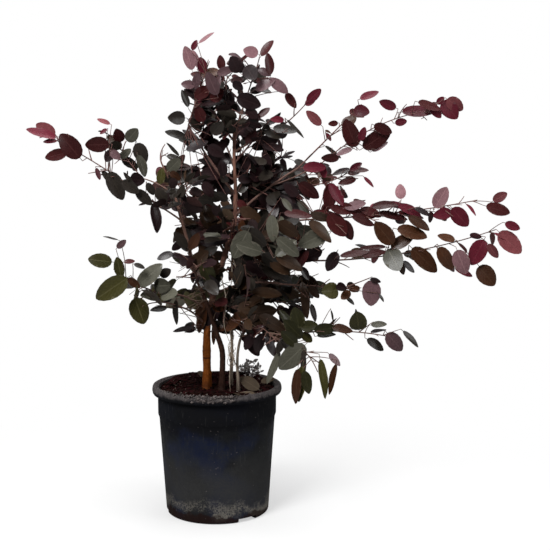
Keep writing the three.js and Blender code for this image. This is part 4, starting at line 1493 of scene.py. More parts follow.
@dataclass
class Framework:
    """The stems and boughs, each one tapering limb with bark relief."""

    effects: Effects
    sunk: float = 4.0
    bough_foot: float = 0.62
    bough_tip: float = 1.4
    bough_taper: float = 0.0075
    collar_swell: float = 0.35
    collar_length: float = 9.0
    flare_height: float = 16.0
    ring_gap: float = 38.0
    ring_swell: float = 0.07
    ring_width: float = 1.7
    ridge_scale: Pair = (1.6, 0.035)
    fine_scale: Pair = (4.0, 0.16)
    step_length: float = 3.5
    limbs: dict[str, Limb] = field(default_factory=dict)

    def bark_relief(self, seed: float, ridge: float) -> Callable[[float, float], float]:
        """Make the relief of one limb's bark.

        Args:
            seed: shifts the pattern, so that no two limbs are alike.
            ridge: height of its ridges as a share of the radius.

        Returns:
            The factor that it puts on the radius at a distance along and an angle round.
        """
        def grain(along: float, angle: float, scale: Pair) -> float:
            """Return the unevenness at one scale, round the limb and along it."""
            x, y = math.cos(angle) * scale[0] + seed, math.sin(angle) * scale[0]
            return noise.noise(Vector((x, y, along * scale[1])))

        def ring(along: float) -> float:
            """Return the swelling of the rings, which stand at even gaps along the limb."""
            nearest = (along + seed * 7) % self.ring_gap - self.ring_gap / 2
            return self.ring_swell * math.exp(-((nearest / self.ring_width) ** 2))

        def factor(along: float, angle: float) -> float:
            """Return the factor of ridges, fine grain and rings together."""
            coarse, fine = grain(along, angle, self.ridge_scale), grain(along, angle, self.fine_scale)
            return 1 + ridge * coarse + 0.5 * ridge * fine + ring(along)
        return factor

    def add_limb(self, name: str, limb: Limb, sides: int, relief: Pair, bark: Material,
                 slot: str) -> None:
        """Keep a limb for what grows on it, then build and dress it.

        Args:
            name: its solid's name.
            limb: its line and thickness.
            sides: faces round it.
            relief: how far the bark's pattern shifts from limb to limb, and its ridges' height.
            bark: its material.
            slot: the record's material slot.
        """
        self.limbs[name] = limb
        shift, ridge = relief
        maker = MeshMaker()
        add_tube(maker, limb.path, limb.radius_at, sides, round(limb.path.length / self.step_length),
                 self.bark_relief(len(self.limbs) * shift, ridge))
        dress(maker.build(f"{name}_bark", [bark]), slot, name)

    def grow_stem(self, stem: Stem, bark: Material) -> None:
        """Grow one stem from its place in the mix.

        Args:
            stem: its row.
            bark: its material.
        """
        x, y, z = stem.bends[0]
        path = through([(x, y, z - self.sunk), *stem.bends[1:]])

        def radius_at(along: float) -> float:
            """Return the stem's radius at a distance from its foot."""
            narrowed = stem.foot + (stem.tip - stem.foot) * (along / path.length)
            return narrowed + stem.flare * math.exp(-along / self.flare_height)

        slot = "stem" if stem.bark == "main" else "dark_stem"
        self.add_limb(stem.name, Limb(path, radius_at), 20, (3.7, 0.16), bark, slot)

    def grow_bough(self, bough: Bough, bark: Material) -> None:
        """Grow one bough from its parent.

        Args:
            bough: its row.
            bark: its material.
        """
        parent = self.limbs[bough.parent]
        foot_point = parent.path.at(bough.at)
        path = arc_from(foot_point, bough.compass, bough.spread, bough.rise, bough.arch, bough.bow)
        thickest = parent.radius_at(bough.at * parent.path.length) * self.bough_foot
        foot = min(thickest, self.bough_tip + path.length * self.bough_taper)
        tip = min(self.bough_tip, foot * 0.85)

        def radius_at(along: float) -> float:
            """Return the bough's radius at a distance from its foot."""
            collar = foot * self.collar_swell * math.exp(-along / self.collar_length)
            return foot + (tip - foot) * (along / path.length) + collar

        self.add_limb(bough.name, Limb(path, radius_at), 12, (2.3, 0.13), bark, "bough")

    def build(self) -> None:
        """Grow every stem and bough."""
        barks = {name: BARKS[name].build(self.effects) for name in ("main", "dark", "pale", "bough")}
        for stem in STEMS:
            self.grow_stem(stem, barks[stem.bark])
        for bough in BOUGHS:
            self.grow_bough(bough, barks["bough"])


@dataclass(frozen=True)
class Window:
    """A gap that the background shows through, by its sides in the photograph's pixels."""

    left: float
    right: float
    top: float
    bottom: float


WINDOWS = [Window(*sides) for sides in (
    (184, 197, 264, 284), (163, 183, 259, 288), (218, 226, 264, 296), (182, 196, 187, 196),
    (183, 195, 211, 217), (222, 230, 221, 230), (182, 202, 148, 168), (245, 258, 139, 156),
    (284, 322, 126, 164), (274, 302, 150, 167), (336, 352, 176, 192), (326, 338, 226, 246),
    (323, 342, 132, 153), (341, 358, 152, 163), (348, 394, 185, 197), (303, 374, 262, 282),
    (282, 303, 270, 280), (264, 281, 280, 289), (309, 345, 300, 320), (278, 294, 302, 309),
    (138, 157, 297, 306), (314, 366, 335, 356), (374, 392, 341, 356), (50, 108, 165, 236),
    (160, 173, 206, 256), (173, 181, 206, 231), (196, 234, 333, 374), (150, 173, 313, 327),
    (179, 193, 311, 325), (98, 128, 301, 340), (262, 291, 93, 114), (222, 233, 79, 88), (300, 322, 108, 130),
    (470, 500, 214, 229), (356, 369, 226, 244), (205, 217, 34, 69), (219, 243, 34, 54), (150, 165, 150, 166),
    (374, 436, 273, 300), (129, 199, 331, 347), (138, 158, 143, 168), (337, 357, 96, 118),
    (326, 340, 108, 119), (306, 322, 171, 180), (312, 326, 176, 194), (327, 345, 160, 169),
    (404, 432, 117, 134), (456, 484, 175, 206), (371, 392, 307, 323), (364, 420, 352, 370),
    (86, 108, 146, 166), (100, 112, 183, 200), (154, 176, 134, 161), (165, 184, 141, 152),
    (219, 232, 245, 268), (170, 192, 276, 291), (174, 198, 179, 190), (238, 252, 344, 361),
    (402, 432, 188, 206), (418, 440, 240, 249), (309, 321, 197, 210), (352, 366, 291, 307),
    (328, 355, 303, 318), (78, 105, 275, 290), (90, 108, 112, 130), (258, 279, 350, 374),
    (260, 284, 300, 308), (273, 283, 308, 317), (104, 118, 174, 196), (192, 206, 58, 69), (243, 264, 57, 65),
    (281, 296, 108, 122), (424, 448, 231, 253),
)]


@dataclass(frozen=True)
class Seen:
    """A leaf that stands out in the photograph, by its place there in pixels.

    Its last number is how far it stands in front of the limb that carries it, in millimetres.
    """

    kind: Kind
    stalk_x: float
    stalk_y: float
    tip_x: float
    tip_y: float
    width: float
    nearer: float = 0.0

    @property
    def stalk(self) -> Pair:
        """Return the pixel where its stalk meets it."""
        return self.stalk_x, self.stalk_y

    @property
    def tip(self) -> Pair:
        """Return the pixel of its tip."""
        return self.tip_x, self.tip_y


SEEN_ROWS = {"left_outer_spray": (
    (CRIMSON, 56, 138, 26, 129, 9), (ROSE, 55, 135, 36, 124, 14), (CRIMSON, 57, 141, 43, 142, 5),
    (BURGUNDY, 80, 158, 60, 134, 20), (BURGUNDY, 67, 152, 45, 158, 12), (BURGUNDY, 109, 144, 85, 145, 16),
    (ROSE, 110, 124, 97, 119, 5), (CRIMSON, 107, 129, 100, 134, 4), (CRIMSON, 96, 168, 100, 180, 5),
    (DUSK, 109, 172, 123, 200, 17), (DUSK, 102, 171, 114, 186, 7), (PURPLE, 112, 150, 106, 162, 10),
    (MAUVE, 111, 151, 120, 159, 9), (DUSK, 122, 181, 139, 193, 12), (DUSK, 136, 190, 152, 205, 11),
    (PURPLE, 153, 203, 158, 233, 11), (DUSK, 147, 183, 154, 195, 8), (DUSK, 157, 188, 166, 203, 12),
), "left_crown_spray": (
    (BURGUNDY, 121, 142, 117, 129, 12), (SAGE, 127, 141, 138, 129, 13), (DUSK, 137, 143, 145, 164, 15),
    (DUSK, 122, 158, 138, 168, 10), (SAGE, 138, 155, 145, 177, 9), (SAGE, 120, 158, 131, 149, 8),
    (PURPLE, 130, 179, 146, 181, 15),
), "left_stem": (
    (OLIVE, 160, 184, 162, 168, 9), (DUSK, 187, 248, 174, 232, 10), (PURPLE, 184, 258, 169, 254, 6),
    (PURPLE, 173, 253, 157, 259, 8), (BRONZE, 190, 249, 199, 233, 10, 14),
    (UMBER, 191, 266, 208, 251, 14, 20), (FOREST, 203, 262, 213, 286, 15, 20),
    (DUSK, 202, 256, 218, 247, 9, 12), (PURPLE, 194, 271, 193, 283, 5), (SAGE, 168, 171, 180, 159, 13),
    (BRONZE, 170, 172, 181, 180, 8),
), "low_left_spray": (
    (OLIVE, 112, 262, 88, 259, 15), (OLIVE, 127, 278, 96, 299, 21, 12), (SAGE, 138, 286, 162, 264, 16),
    (OLIVE, 121, 277, 117, 257, 11), (BURGUNDY, 124, 262, 135, 261, 5), (MAUVE, 117, 248, 126, 240, 7),
    (DUSK, 118, 240, 103, 236, 2), (DUSK, 134, 264, 145, 268, 5), (DUSK, 160, 276, 171, 269, 10),
    (SAGE, 154, 286, 172, 284, 16), (BRONZE, 128, 278, 140, 288, 8),
), "main_stem": (
    (BRONZE, 205, 306, 198, 333, 10), (DUSK, 214, 310, 236, 330, 12), (DUSK, 212, 322, 231, 333, 11),
    (BRONZE, 237, 321, 217, 331, 9), (BRONZE, 215, 320, 213, 345, 5), (PURPLE, 218, 306, 206, 326, 12),
    (BRONZE, 205, 300, 196, 315, 9), (PURPLE, 207, 308, 203, 330, 8),
), "low_left_lower_spray": (
    (OLIVE, 135, 298, 144, 324, 20), (DUSK, 167, 308, 150, 311, 7), (DUSK, 176, 300, 176, 325, 6),
    (PURPLE, 194, 327, 173, 332, 5),
), "top_left_spray": (
    (BLUSH, 199, 43, 214, 32, 4), (CRIMSON, 192, 50, 197, 40, 6), (BLUSH, 192, 70, 185, 46, 12),
    (BLUSH, 198, 68, 193, 50, 7), (CRIMSON, 204, 73, 200, 57, 11), (MAUVE, 217, 95, 207, 72, 13),
    (MAUVE, 214, 90, 220, 76, 8), (BURGUNDY, 208, 88, 195, 98, 13), (BURGUNDY, 212, 102, 222, 87, 13),
    (MAUVE, 195, 85, 181, 84, 9), (MAUVE, 195, 89, 198, 72, 9), (DUSK, 188, 107, 181, 90, 7),
    (DUSK, 185, 118, 168, 118, 14), (DUSK, 188, 139, 165, 131, 8), (DUSK, 179, 156, 166, 143, 4),
    (BURGUNDY, 203, 122, 196, 106, 12), (DUSK, 212, 134, 223, 122, 13), (PURPLE, 186, 150, 208, 141, 9),
    (PURPLE, 208, 146, 224, 156, 12), (PURPLE, 182, 204, 195, 206, 8), (PURPLE, 203, 182, 213, 197, 11),
    (DUSK, 198, 199, 214, 201, 9), (PURPLE, 224, 176, 221, 160, 10), (DUSK, 228, 200, 214, 193, 9),
), "crown_right_spray": (
    (BURGUNDY, 222, 70, 220, 55, 9), (PURPLE, 240, 72, 230, 57, 15), (MAUVE, 217, 74, 234, 68, 9),
    (PURPLE, 246, 66, 255, 81, 16), (BLUSH, 258, 54, 243, 50, 12), (BURGUNDY, 261, 56, 273, 40, 8),
    (BURGUNDY, 270, 75, 267, 53, 9), (MAUVE, 255, 90, 276, 79, 10), (MAUVE, 270, 79, 288, 93, 11),
    (BURGUNDY, 286, 93, 296, 108, 9), (PURPLE, 237, 97, 261, 106, 16), (PURPLE, 230, 92, 231, 107, 9),
    (PURPLE, 233, 82, 243, 90, 9), (BURGUNDY, 258, 117, 270, 108, 7), (PURPLE, 246, 109, 258, 118, 11),
    (PURPLE, 245, 121, 262, 127, 9),
), "top_right_spray": (
    (CRIMSON, 307, 102, 321, 89, 10), (CRIMSON, 284, 120, 270, 119, 7), (DUSK, 273, 128, 297, 132, 10),
    (DUSK, 287, 120, 304, 138, 4), (MAUVE, 238, 129, 251, 136, 9), (DUSK, 264, 132, 281, 138, 7),
    (PURPLE, 258, 141, 277, 142, 11), (PURPLE, 262, 145, 284, 150, 8), (PURPLE, 271, 165, 262, 152, 8),
    (PURPLE, 283, 156, 295, 151, 3), (PURPLE, 280, 158, 293, 156, 3), (PURPLE, 272, 164, 282, 155, 3),
    (PURPLE, 238, 180, 255, 177, 10), (DUSK, 238, 192, 248, 182, 10),
), "right_upper_spray": (
    (ROSE, 321, 125, 306, 111, 10), (CRIMSON, 360, 99, 379, 92, 8), (CRIMSON, 354, 109, 369, 113, 12),
    (BURGUNDY, 338, 123, 328, 124, 6), (CRIMSON, 326, 133, 331, 141, 4), (DUSK, 325, 146, 341, 158, 4),
), "right_outer_spray": (
    (CRIMSON, 396, 108, 379, 101, 10), (BURGUNDY, 356, 147, 345, 119, 17),
    (BURGUNDY, 363, 148, 391, 130, 17), (CRIMSON, 360, 141, 365, 127, 8), (BURGUNDY, 374, 125, 392, 133, 11),
    (MAUVE, 372, 151, 388, 142, 7), (CRIMSON, 395, 123, 407, 121, 8), (CRIMSON, 402, 112, 437, 111, 12),
    (BURGUNDY, 418, 102, 441, 110, 9), (CRIMSON, 431, 106, 441, 118, 9), (CRIMSON, 437, 104, 444, 97, 7),
    (CRIMSON, 443, 101, 456, 119, 17), (ROSE, 447, 99, 463, 110, 14), (BURGUNDY, 339, 158, 321, 158, 9),
    (CRIMSON, 303, 168, 326, 167, 11), (CRIMSON, 321, 164, 325, 178, 8), (MAUVE, 352, 149, 336, 155, 6),
), "mid_right_spray": (
    (PURPLE, 350, 169, 332, 175, 6), (CRIMSON, 350, 170, 362, 163, 7), (BURGUNDY, 352, 170, 369, 170, 6),
    (BURGUNDY, 356, 179, 338, 184, 8), (CRIMSON, 364, 177, 374, 187, 4),
), "right_long_spray": (
    (BLUSH, 401, 199, 400, 184, 11), (BLUSH, 435, 208, 447, 187, 15), (ROSE, 493, 201, 507, 193, 10),
    (BURGUNDY, 486, 206, 510, 213, 12), (CRIMSON, 452, 212, 433, 216, 12), (CRIMSON, 452, 208, 468, 226, 16),
    (BURGUNDY, 372, 207, 398, 204, 9), (CRIMSON, 385, 203, 412, 209, 7), (BURGUNDY, 350, 212, 375, 217, 8),
    (BURGUNDY, 398, 212, 424, 218, 7), (CRIMSON, 398, 205, 421, 216, 9), (BURGUNDY, 378, 213, 408, 219, 8),
    (BURGUNDY, 360, 209, 382, 216, 9), (MAUVE, 345, 208, 366, 203, 9), (BURGUNDY, 330, 207, 350, 214, 9),
    (BURGUNDY, 332, 183, 328, 210, 15), (CRIMSON, 329, 184, 343, 206, 10),
    (BURGUNDY, 299, 183, 319, 198, 13), (BURGUNDY, 329, 214, 346, 236, 18),
    (BURGUNDY, 343, 220, 352, 240, 12), (BURGUNDY, 352, 216, 374, 226, 9), (UMBER, 310, 214, 330, 220, 9),
    (BURGUNDY, 340, 204, 356, 212, 9), (SAGE, 298, 201, 309, 215, 8), (BURGUNDY, 312, 213, 345, 221, 12),
    (PURPLE, 298, 196, 284, 184, 11),
), "right_lower_spray": (
    (CRIMSON, 505, 223, 520, 229, 9), (ROSE, 499, 232, 521, 253, 18), (BRONZE, 393, 244, 375, 222, 17),
    (BRONZE, 397, 229, 427, 238, 13), (BRONZE, 408, 217, 429, 231, 10), (BRONZE, 391, 248, 414, 235, 13),
    (BRONZE, 455, 240, 437, 236, 8), (BRONZE, 412, 248, 437, 272, 17), (BRONZE, 439, 247, 452, 270, 14),
    # The leaf at 457, 250 is a rose leaf given the paler blush colour, painted light against the shade that
    # it stands in.
    (BURGUNDY, 443, 255, 454, 272, 9), (BLUSH, 457, 250, 466, 274, 17, 14),
    (CRIMSON, 484, 240, 471, 265, 18), (ROSE, 488, 244, 498, 258, 9, 14), (CRIMSON, 455, 268, 472, 277, 7),
    (BRONZE, 479, 266, 493, 285, 18), (SAGE, 388, 249, 397, 269, 20), (PURPLE, 403, 261, 414, 273, 6),
    (BURGUNDY, 386, 247, 359, 248, 5), (BURGUNDY, 340, 256, 370, 252, 7), (BURGUNDY, 362, 256, 386, 251, 8),
    (PURPLE, 337, 252, 327, 271, 13), (SAGE, 328, 232, 298, 246, 18, 16), (SAGE, 299, 227, 318, 240, 14, 6),
    (UMBER, 309, 221, 332, 242, 12, 26), (PURPLE, 322, 250, 301, 261, 12),
), "centre_front_spray": (
    (SAGE, 248, 231, 233, 258, 19, 60), (SAGE, 262, 252, 236, 244, 15, 46),
    (SAGE, 271, 215, 273, 242, 12, 52), (DUSK, 246, 229, 266, 246, 15, 54),
    (SAGE, 277, 238, 299, 256, 14, 40), (SAGE, 276, 256, 296, 240, 12, 30), (DUSK, 262, 236, 268, 212, 13),
    (UMBER, 278, 222, 298, 236, 14, 30), (DUSK, 234, 256, 258, 270, 15, 34),
    (DUSK, 262, 254, 284, 268, 14, 30), (PURPLE, 246, 262, 266, 276, 12, 16),
    (UMBER, 276, 256, 303, 270, 13, 12), (UMBER, 270, 262, 290, 274, 11, 14),
    (DUSK, 262, 268, 286, 279, 11, 22), (PURPLE, 237, 263, 229, 281, 8), (DUSK, 241, 263, 236, 288, 10),
    (PURPLE, 301, 267, 309, 280, 7), (SAGE, 282, 199, 292, 211, 6, 20), (BURGUNDY, 284, 213, 312, 217, 9),
    (BURGUNDY, 238, 223, 251, 214, 8, 10), (MAUVE, 213, 243, 230, 236, 10, 20),
    (UMBER, 240, 208, 262, 222, 13, 16), (UMBER, 205, 205, 213, 229, 11, 14),
    (BURGUNDY, 238, 200, 248, 214, 9, 10),
), "low_right_spray": (
    (OLIVE, 338, 290, 320, 290, 17), (MAUVE, 372, 280, 371, 306, 19), (PURPLE, 370, 279, 381, 282, 5),
    (DUSK, 379, 294, 384, 302, 3), (BRONZE, 360, 288, 349, 290, 7), (BRONZE, 350, 291, 341, 299, 9),
    (DUSK, 346, 297, 354, 305, 4), (UMBER, 302, 282, 307, 319, 10), (UMBER, 309, 286, 319, 298, 8),
    (DUSK, 311, 304, 315, 322, 6),
), "low_right_tip_spray": (
    (OLIVE, 359, 330, 355, 309, 18), (SAGE, 371, 325, 387, 324, 7), (MAUVE, 387, 333, 402, 351, 15),
    (DUSK, 403, 331, 419, 347, 6), (DUSK, 367, 339, 384, 350, 9), (FOREST, 314, 330, 336, 328, 12),
    (FOREST, 317, 336, 336, 334, 6), (DUSK, 331, 310, 333, 322, 2), (BRONZE, 332, 327, 353, 331, 9),
    (FOREST, 300, 328, 294, 307, 15), (OLIVE, 302, 333, 312, 342, 9), (FOREST, 300, 327, 318, 325, 12),
), "front_right_bough": (
    (SAGE, 305, 345, 279, 369, 21), (SAGE, 280, 352, 268, 384, 8), (FOREST, 290, 325, 279, 310, 8),
    (FOREST, 302, 338, 284, 320, 13), (UMBER, 259, 316, 286, 331, 13, 8), (FOREST, 297, 345, 281, 331, 12),
    (UMBER, 262, 330, 284, 341, 12), (PURPLE, 247, 338, 259, 356, 11), (PURPLE, 241, 337, 263, 347, 10),
    (DUSK, 268, 322, 270, 352, 10), (BRONZE, 228, 322, 250, 332, 9), (PURPLE, 253, 333, 245, 350, 10),
    (PURPLE, 262, 334, 256, 353, 11), (BRONZE, 244, 312, 226, 331, 11), (DUSK, 234, 300, 246, 318, 12),
    (UMBER, 250, 317, 273, 328, 12), (UMBER, 252, 292, 282, 296, 11), (BURGUNDY, 264, 326, 250, 336, 8),
    (DUSK, 284, 338, 277, 354, 8), (PURPLE, 266, 336, 275, 357, 8), (UMBER, 254, 313, 277, 310, 14),
), "front_right_spray": (
    (OLIVE, 303, 366, 300, 402, 12), (BRONZE, 298, 369, 296, 404, 10), (FOREST, 304, 371, 309, 394, 11),
    (DUSK, 304, 350, 303, 379, 6), (OLIVE, 320, 359, 325, 399, 9, 26), (BRONZE, 336, 364, 330, 395, 7, 22),
    (MAUVE, 329, 354, 340, 366, 7, 18),
)}
SEEN = {carrier: [Seen(*row) for row in rows] for carrier, rows in SEEN_ROWS.items()}


@dataclass(frozen=True)
class Bud:
    """Where something grows: the place, its carrier's direction, the side it leaves by and its own draws.

    Own is its spray's number, and share is how far out it stands along the spray, from 0 to 1.
    """

    root: Point
    tangent: Point
    side: Point
    own: int
    share: float
    draws: Draws


@dataclass
class Crown:
    """The foliage: every spray's stem, twigs, short shoots and leaves, grown by one seeded rule."""

    effects: Effects
    framework: Framework
    lowest: Vector
    highest: Vector
    view: Viewpoint
    first_node: float = 9.0
    last_node: float = 0.985
    finer: float = 0.6
    stem_radii: Pair = (2.2, 0.75)
    twig_radii: Pair = (1.15, 0.6)
    shoot_radii: Pair = (0.8, 0.5)
    twig_every: int = 3
    twig_angle: Pair = (43.0, 61.0)
    twig_reach: Pair = (0.8, 1.2)
    twig_shrink: float = 0.4
    twig_sway: float = 0.09
    twig_leaf_gap: float = 10.0
    twig_short: float = 0.55
    twig_jitter: float = 0.6
    twig_bonus: float = 0.3
    last_leaf: float = 0.97
    shoot_length: Pair = (9.0, 20.0)
    shoot_forward: Pair = (0.5, 0.9)
    shoot_aside: float = 0.8
    shoot_up: Pair = (-0.2, 0.3)
    shoot_places: Pair = (0.45, 0.8)
    shoot_scales: Pair = (0.88, 0.95)
    leaf_middle: float = 0.58
    leaf_outer: float = 0.85
    leaf_size: Pair = (0.72, 1.22)
    leaf_facing: float = 72.0
    leaf_forward: Pair = (0.35, 0.7)
    leaf_aside: float = 0.75
    leaf_droop: Pair = (0.4, 1.6)
    leaf_up: Pair = (0.1, 1.1)
    least_slant: float = 0.25
    tip_reach: float = 1.5
    limb_gap: float = 0.2
    overlap: float = 30.0
    crowding: float = 0.3
    turns: int = 8
    overhang: float = 6.0
    widest: float = 0.74
    seen_lift: Pair = (-16.0, 2.0)
    seen_curl: float = 0.09
    seen_turn: float = 0.6
    seen_cover: float = 0.27
    seen_back: float = 0.55
    seen_room: float = 1.15
    bare: tuple[tuple[str, float, float], ...] = (
        ("main_stem", 0.48, 0.96), ("right_upper_bough", 0.05, 0.95),
    )
    bare_reach: float = 8.0
    cell: float = 40.0
    wood_seeds: int = 90000
    seen_seeds: int = 700000
    leaves: int = 0
    spines: list[Path] = field(default_factory=list)
    makers: dict[Kind, MeshMaker] = field(default_factory=dict)
    twigs: MeshMaker = field(default_factory=MeshMaker)
    shape: LeafShape = field(default_factory=LeafShape)
    taken: dict[tuple[int, ...], list[tuple[Point, float]]] = field(default_factory=dict)
    shown: list[tuple[float, float, float, float]] = field(default_factory=list)
    samples: Point = field(init=False)
    limb_radii: list[float] = field(init=False)
    limb_points: KDTree = field(init=False)

    @staticmethod
    def draws_for(own: int, node: int, leaf: int = 0) -> Draws:
        """Return the run of draws that the solids use for a spray's node and leaf."""
        return Draws(10000 * (own + 1) + 100 * node + leaf)

    def lay_spines(self) -> None:
        """Lay every spray's own line first, so that each knows its neighbours' space."""
        for spray in GROWN:
            foot = self.framework.limbs[spray.parent].path.at(spray.at)
            self.spines.append(arc_from(foot, spray.compass, spray.spread, spray.rise, spray.arch, spray.bow))
        self.samples = np.array([[spine.at(k / 12) for k in range(13)] for spine in self.spines])
        limbs = [(limb.path.at(share), limb.radius_at(share * limb.path.length))
                 for limb in self.framework.limbs.values()
                 for share in np.linspace(0, 1, round(limb.path.length / 6))]
        self.limb_radii = [radius for _, radius in limbs]
        self.limb_points = KDTree(len(limbs))
        for number, (point, _) in enumerate(limbs):
            self.limb_points.insert(Vector(point), number)
        self.limb_points.balance()

    def in_own_space(self, point: Point, own: int) -> bool:
        """Tell whether a point belongs to a spray rather than its neighbours."""
        gaps = np.linalg.norm(self.samples - point, axis=2).min(axis=1)
        return bool(gaps[own] < np.delete(gaps, own).min() + self.overlap)

    def in_window(self, point: Point) -> bool:
        """Tell whether a point would close one of the crown's see-through gaps."""
        x, y = self.view.pixel_of(point)
        return any(w.left < x < w.right and w.top < y < w.bottom for w in WINDOWS)

    def hides_seen(self, point: Point) -> bool:
        """Tell whether a point stands in front of a leaf or a bare limb that the photograph shows."""
        x, y = self.view.pixel_of(point)
        return any(math.hypot(x - a, y - b) < reach and point[1] < depth for a, b, reach, depth in self.shown)

    def cell_of(self, point: Point) -> tuple[int, ...]:
        """Return the cell of space that a point is in."""
        return tuple((point // self.cell).astype(int))

    def take(self, centre: Point, size: float) -> None:
        """Count a leaf and keep its place for it."""
        self.taken.setdefault(self.cell_of(centre), []).append((centre, size))
        self.leaves += 1

    def has_room(self, centre: Point, size: float) -> bool:
        """Tell whether a leaf would stand clear of limbs and of the leaves so far.

        Args:
            centre: its middle.
            size: its length.

        Returns:
            Whether it would.
        """
        _, number, gap = self.limb_points.find(Vector(centre))
        if gap < self.limb_radii[number] + self.limb_gap * size:
            return False
        x, y, z = self.cell_of(centre)
        for key in ((x + i, y + j, z + k) for i in (-1, 0, 1) for j in (-1, 0, 1) for k in (-1, 0, 1)):
            for other, other_size in self.taken.get(key, ()):
                if np.linalg.norm(other - centre) < self.crowding * (size + other_size) / 2:
                    return False
        return True

    def within_reach(self, tip: Point) -> bool:
        """Tell whether a leaf's tip stays within the solids' reach."""
        return all(low / MM - self.overhang < t < high / MM + self.overhang
                   for low, t, high in zip(self.lowest, tip, self.highest))

    def kind_for(self, bud: Bud) -> Kind:
        """Choose a leaf's colour.

        Args:
            bud: where it grows.

        Returns:
            The colour.
        """
        spray = GROWN[bud.own]
        outward = bud.draws.next() < bud.share**self.tip_reach
        palette = (spray.tips if outward and spray.tips else spray.inner).value
        pick = bud.draws.next() * sum(palette.values())
        for kind, weight in palette.items():
            pick -= weight
            if pick < 0:
                break
        return kind

    def grow_leaf(self, bud: Bud, scale: float = 1.0) -> None:
        """Grow one leaf, turned a few times to find room, or none.

        Args:
            bud: where it grows.
            scale: factor on its size.
        """
        spray, draws = GROWN[bud.own], bud.draws
        if draws.next() > spray.fill:
            return
        for _ in range(self.turns):
            along = unit(bud.tangent * draws.between(*self.leaf_forward) + bud.side * self.leaf_aside
                         - UP * spray.hang * draws.between(*self.leaf_droop))
            facing = heading_of(spray.face + draws.between(-self.leaf_facing, self.leaf_facing))
            normal = facing + UP * draws.between(*self.leaf_up)
            size = spray.leaf * scale * draws.between(*self.leaf_size)
            places = (self.leaf_middle, self.leaf_outer, 1.0)
            centre, outer, tip = (bud.root + along * size * place for place in places)
            if any(self.in_window(point) or self.hides_seen(point) for point in (centre, outer)):
                continue
            if not self.within_reach(tip) or not self.in_own_space(centre, bud.own):
                continue
            slant = np.linalg.norm(np.cross(along, unit(normal)))
            if slant < self.least_slant or not self.has_room(centre, size):
                continue
            self.take(centre, size)
            maker = self.makers.setdefault(self.kind_for(bud), MeshMaker())
            self.shape.add_to(maker, bud.root, along, normal, size, draws)
            return

    def grow_seen(self, path: Path, leaf: Seen, draws: Draws) -> None:
        """Grow a leaf that the photograph shows, on a fine twig from its carrier.

        It stands turned about its own length where it shows narrower than it is.

        Args:
            path: the line of the limb or spray that carries it.
            leaf: its row.
            draws: its own draws.
        """
        track = self.view.pixel_of(path.points)
        nearest = int(np.argmin(np.linalg.norm(track - np.array(leaf.stalk), axis=1)))
        depth = path.points[nearest][1] + draws.between(*self.seen_lift) - leaf.nearer
        root, flat_tip = self.view.point_at(leaf.stalk, depth), self.view.point_at(leaf.tip, depth)
        seen_length = float(np.linalg.norm(flat_tip - root))
        seen_pixels = math.dist(leaf.stalk, leaf.tip)
        seen_width = leaf.width * seen_length / seen_pixels
        length = max(seen_length, seen_width / self.widest)
        lean = math.sqrt(length**2 - seen_length**2)
        along = unit(flat_tip - root - np.array([0.0, lean, 0.0]))
        half_width = min(0.5 * max(seen_width, 0.5 * length), 0.5 * self.widest * length)
        turn = min(self.seen_turn, math.acos(min(1.0, seen_width / (2 * half_width))))
        half_width = min(half_width, seen_width / (2 * math.cos(turn)))
        towards = unit(np.array(self.view.place) - root)
        towards = unit(towards - along * float(towards @ along))
        normal = turned(towards, along, turn if turned(towards, along, turn)[2] > towards[2] else -turn)
        curl = self.seen_curl * math.cos(turn)
        along = unit(along + normal * curl)
        size = length / (1 - self.shape.stalk)
        start = root - along * size * self.shape.stalk
        reach = float(np.linalg.norm(path.points[nearest] - start))
        foot = path.at(nearest / Path.SAMPLES - self.seen_back * reach / path.length)
        self.add_twig(foot, start, self.shoot_radii, draws)
        maker = self.makers.setdefault(leaf.kind, MeshMaker())
        self.shape.add_to(maker, start, along, normal, size, draws, curl, half_width)
        middle = (np.array(leaf.stalk) + np.array(leaf.tip)) / 2
        self.shown.append((*middle, self.seen_cover * (seen_pixels + leaf.width), depth))
        self.take(root + along * length / 2, size * self.seen_room)

    @staticmethod
    def side_of(tangent: Point, turn: float) -> Point:
        """Return a direction square to a twig."""
        reference = np.array([1.0, 0.0, 0.0]) if abs(tangent[2]) > 0.85 else UP
        return turned(unit(np.cross(reference, tangent)), tangent, turn)

    def add_twig(self, foot: Point, tip: Point, radii: Pair, draws: Draws) -> Path:
        """Add the wood of one twig, a little bent.

        Args:
            foot: where it starts.
            tip: where it ends.
            radii: its radius at both.
            draws: its own draws.

        Returns:
            Its line.
        """
        reach = float(np.linalg.norm(tip - foot))
        sway = np.array([draws.between(-1, 1), draws.between(-1, 1), draws.between(-0.4, 1)]) * reach
        path = bowed(foot, (foot + tip) / 2 + sway * self.twig_sway, tip, 12)
        add_tube(self.twigs, path, taper(*radii, path.length), 5, max(2, round(reach / 8)), tone=draws.next())
        return path

    def grow_shoot(self, bud: Bud) -> None:
        """Grow a short side shoot with two or three leaves, or one leaf where it has no space.

        Args:
            bud: where it grows.
        """
        draws = bud.draws
        heading = unit(bud.tangent * draws.between(*self.shoot_forward) + bud.side * self.shoot_aside
                       + UP * draws.between(*self.shoot_up))
        end = bud.root + heading * draws.between(*self.shoot_length)
        if not self.in_own_space(end, bud.own):
            self.grow_leaf(bud)
            return
        path = self.add_twig(bud.root, end, self.shoot_radii, draws)
        out = self.side_of(heading, draws.between(0, 2 * math.pi))
        for place, side, scale in zip(self.shoot_places, (out, -out), self.shoot_scales):
            leaf_bud = replace(bud, root=path.at(place), tangent=path.tangent(place), side=side)
            self.grow_leaf(leaf_bud, scale)
        self.grow_leaf(replace(bud, root=path.at(self.last_leaf), tangent=heading, side=heading))

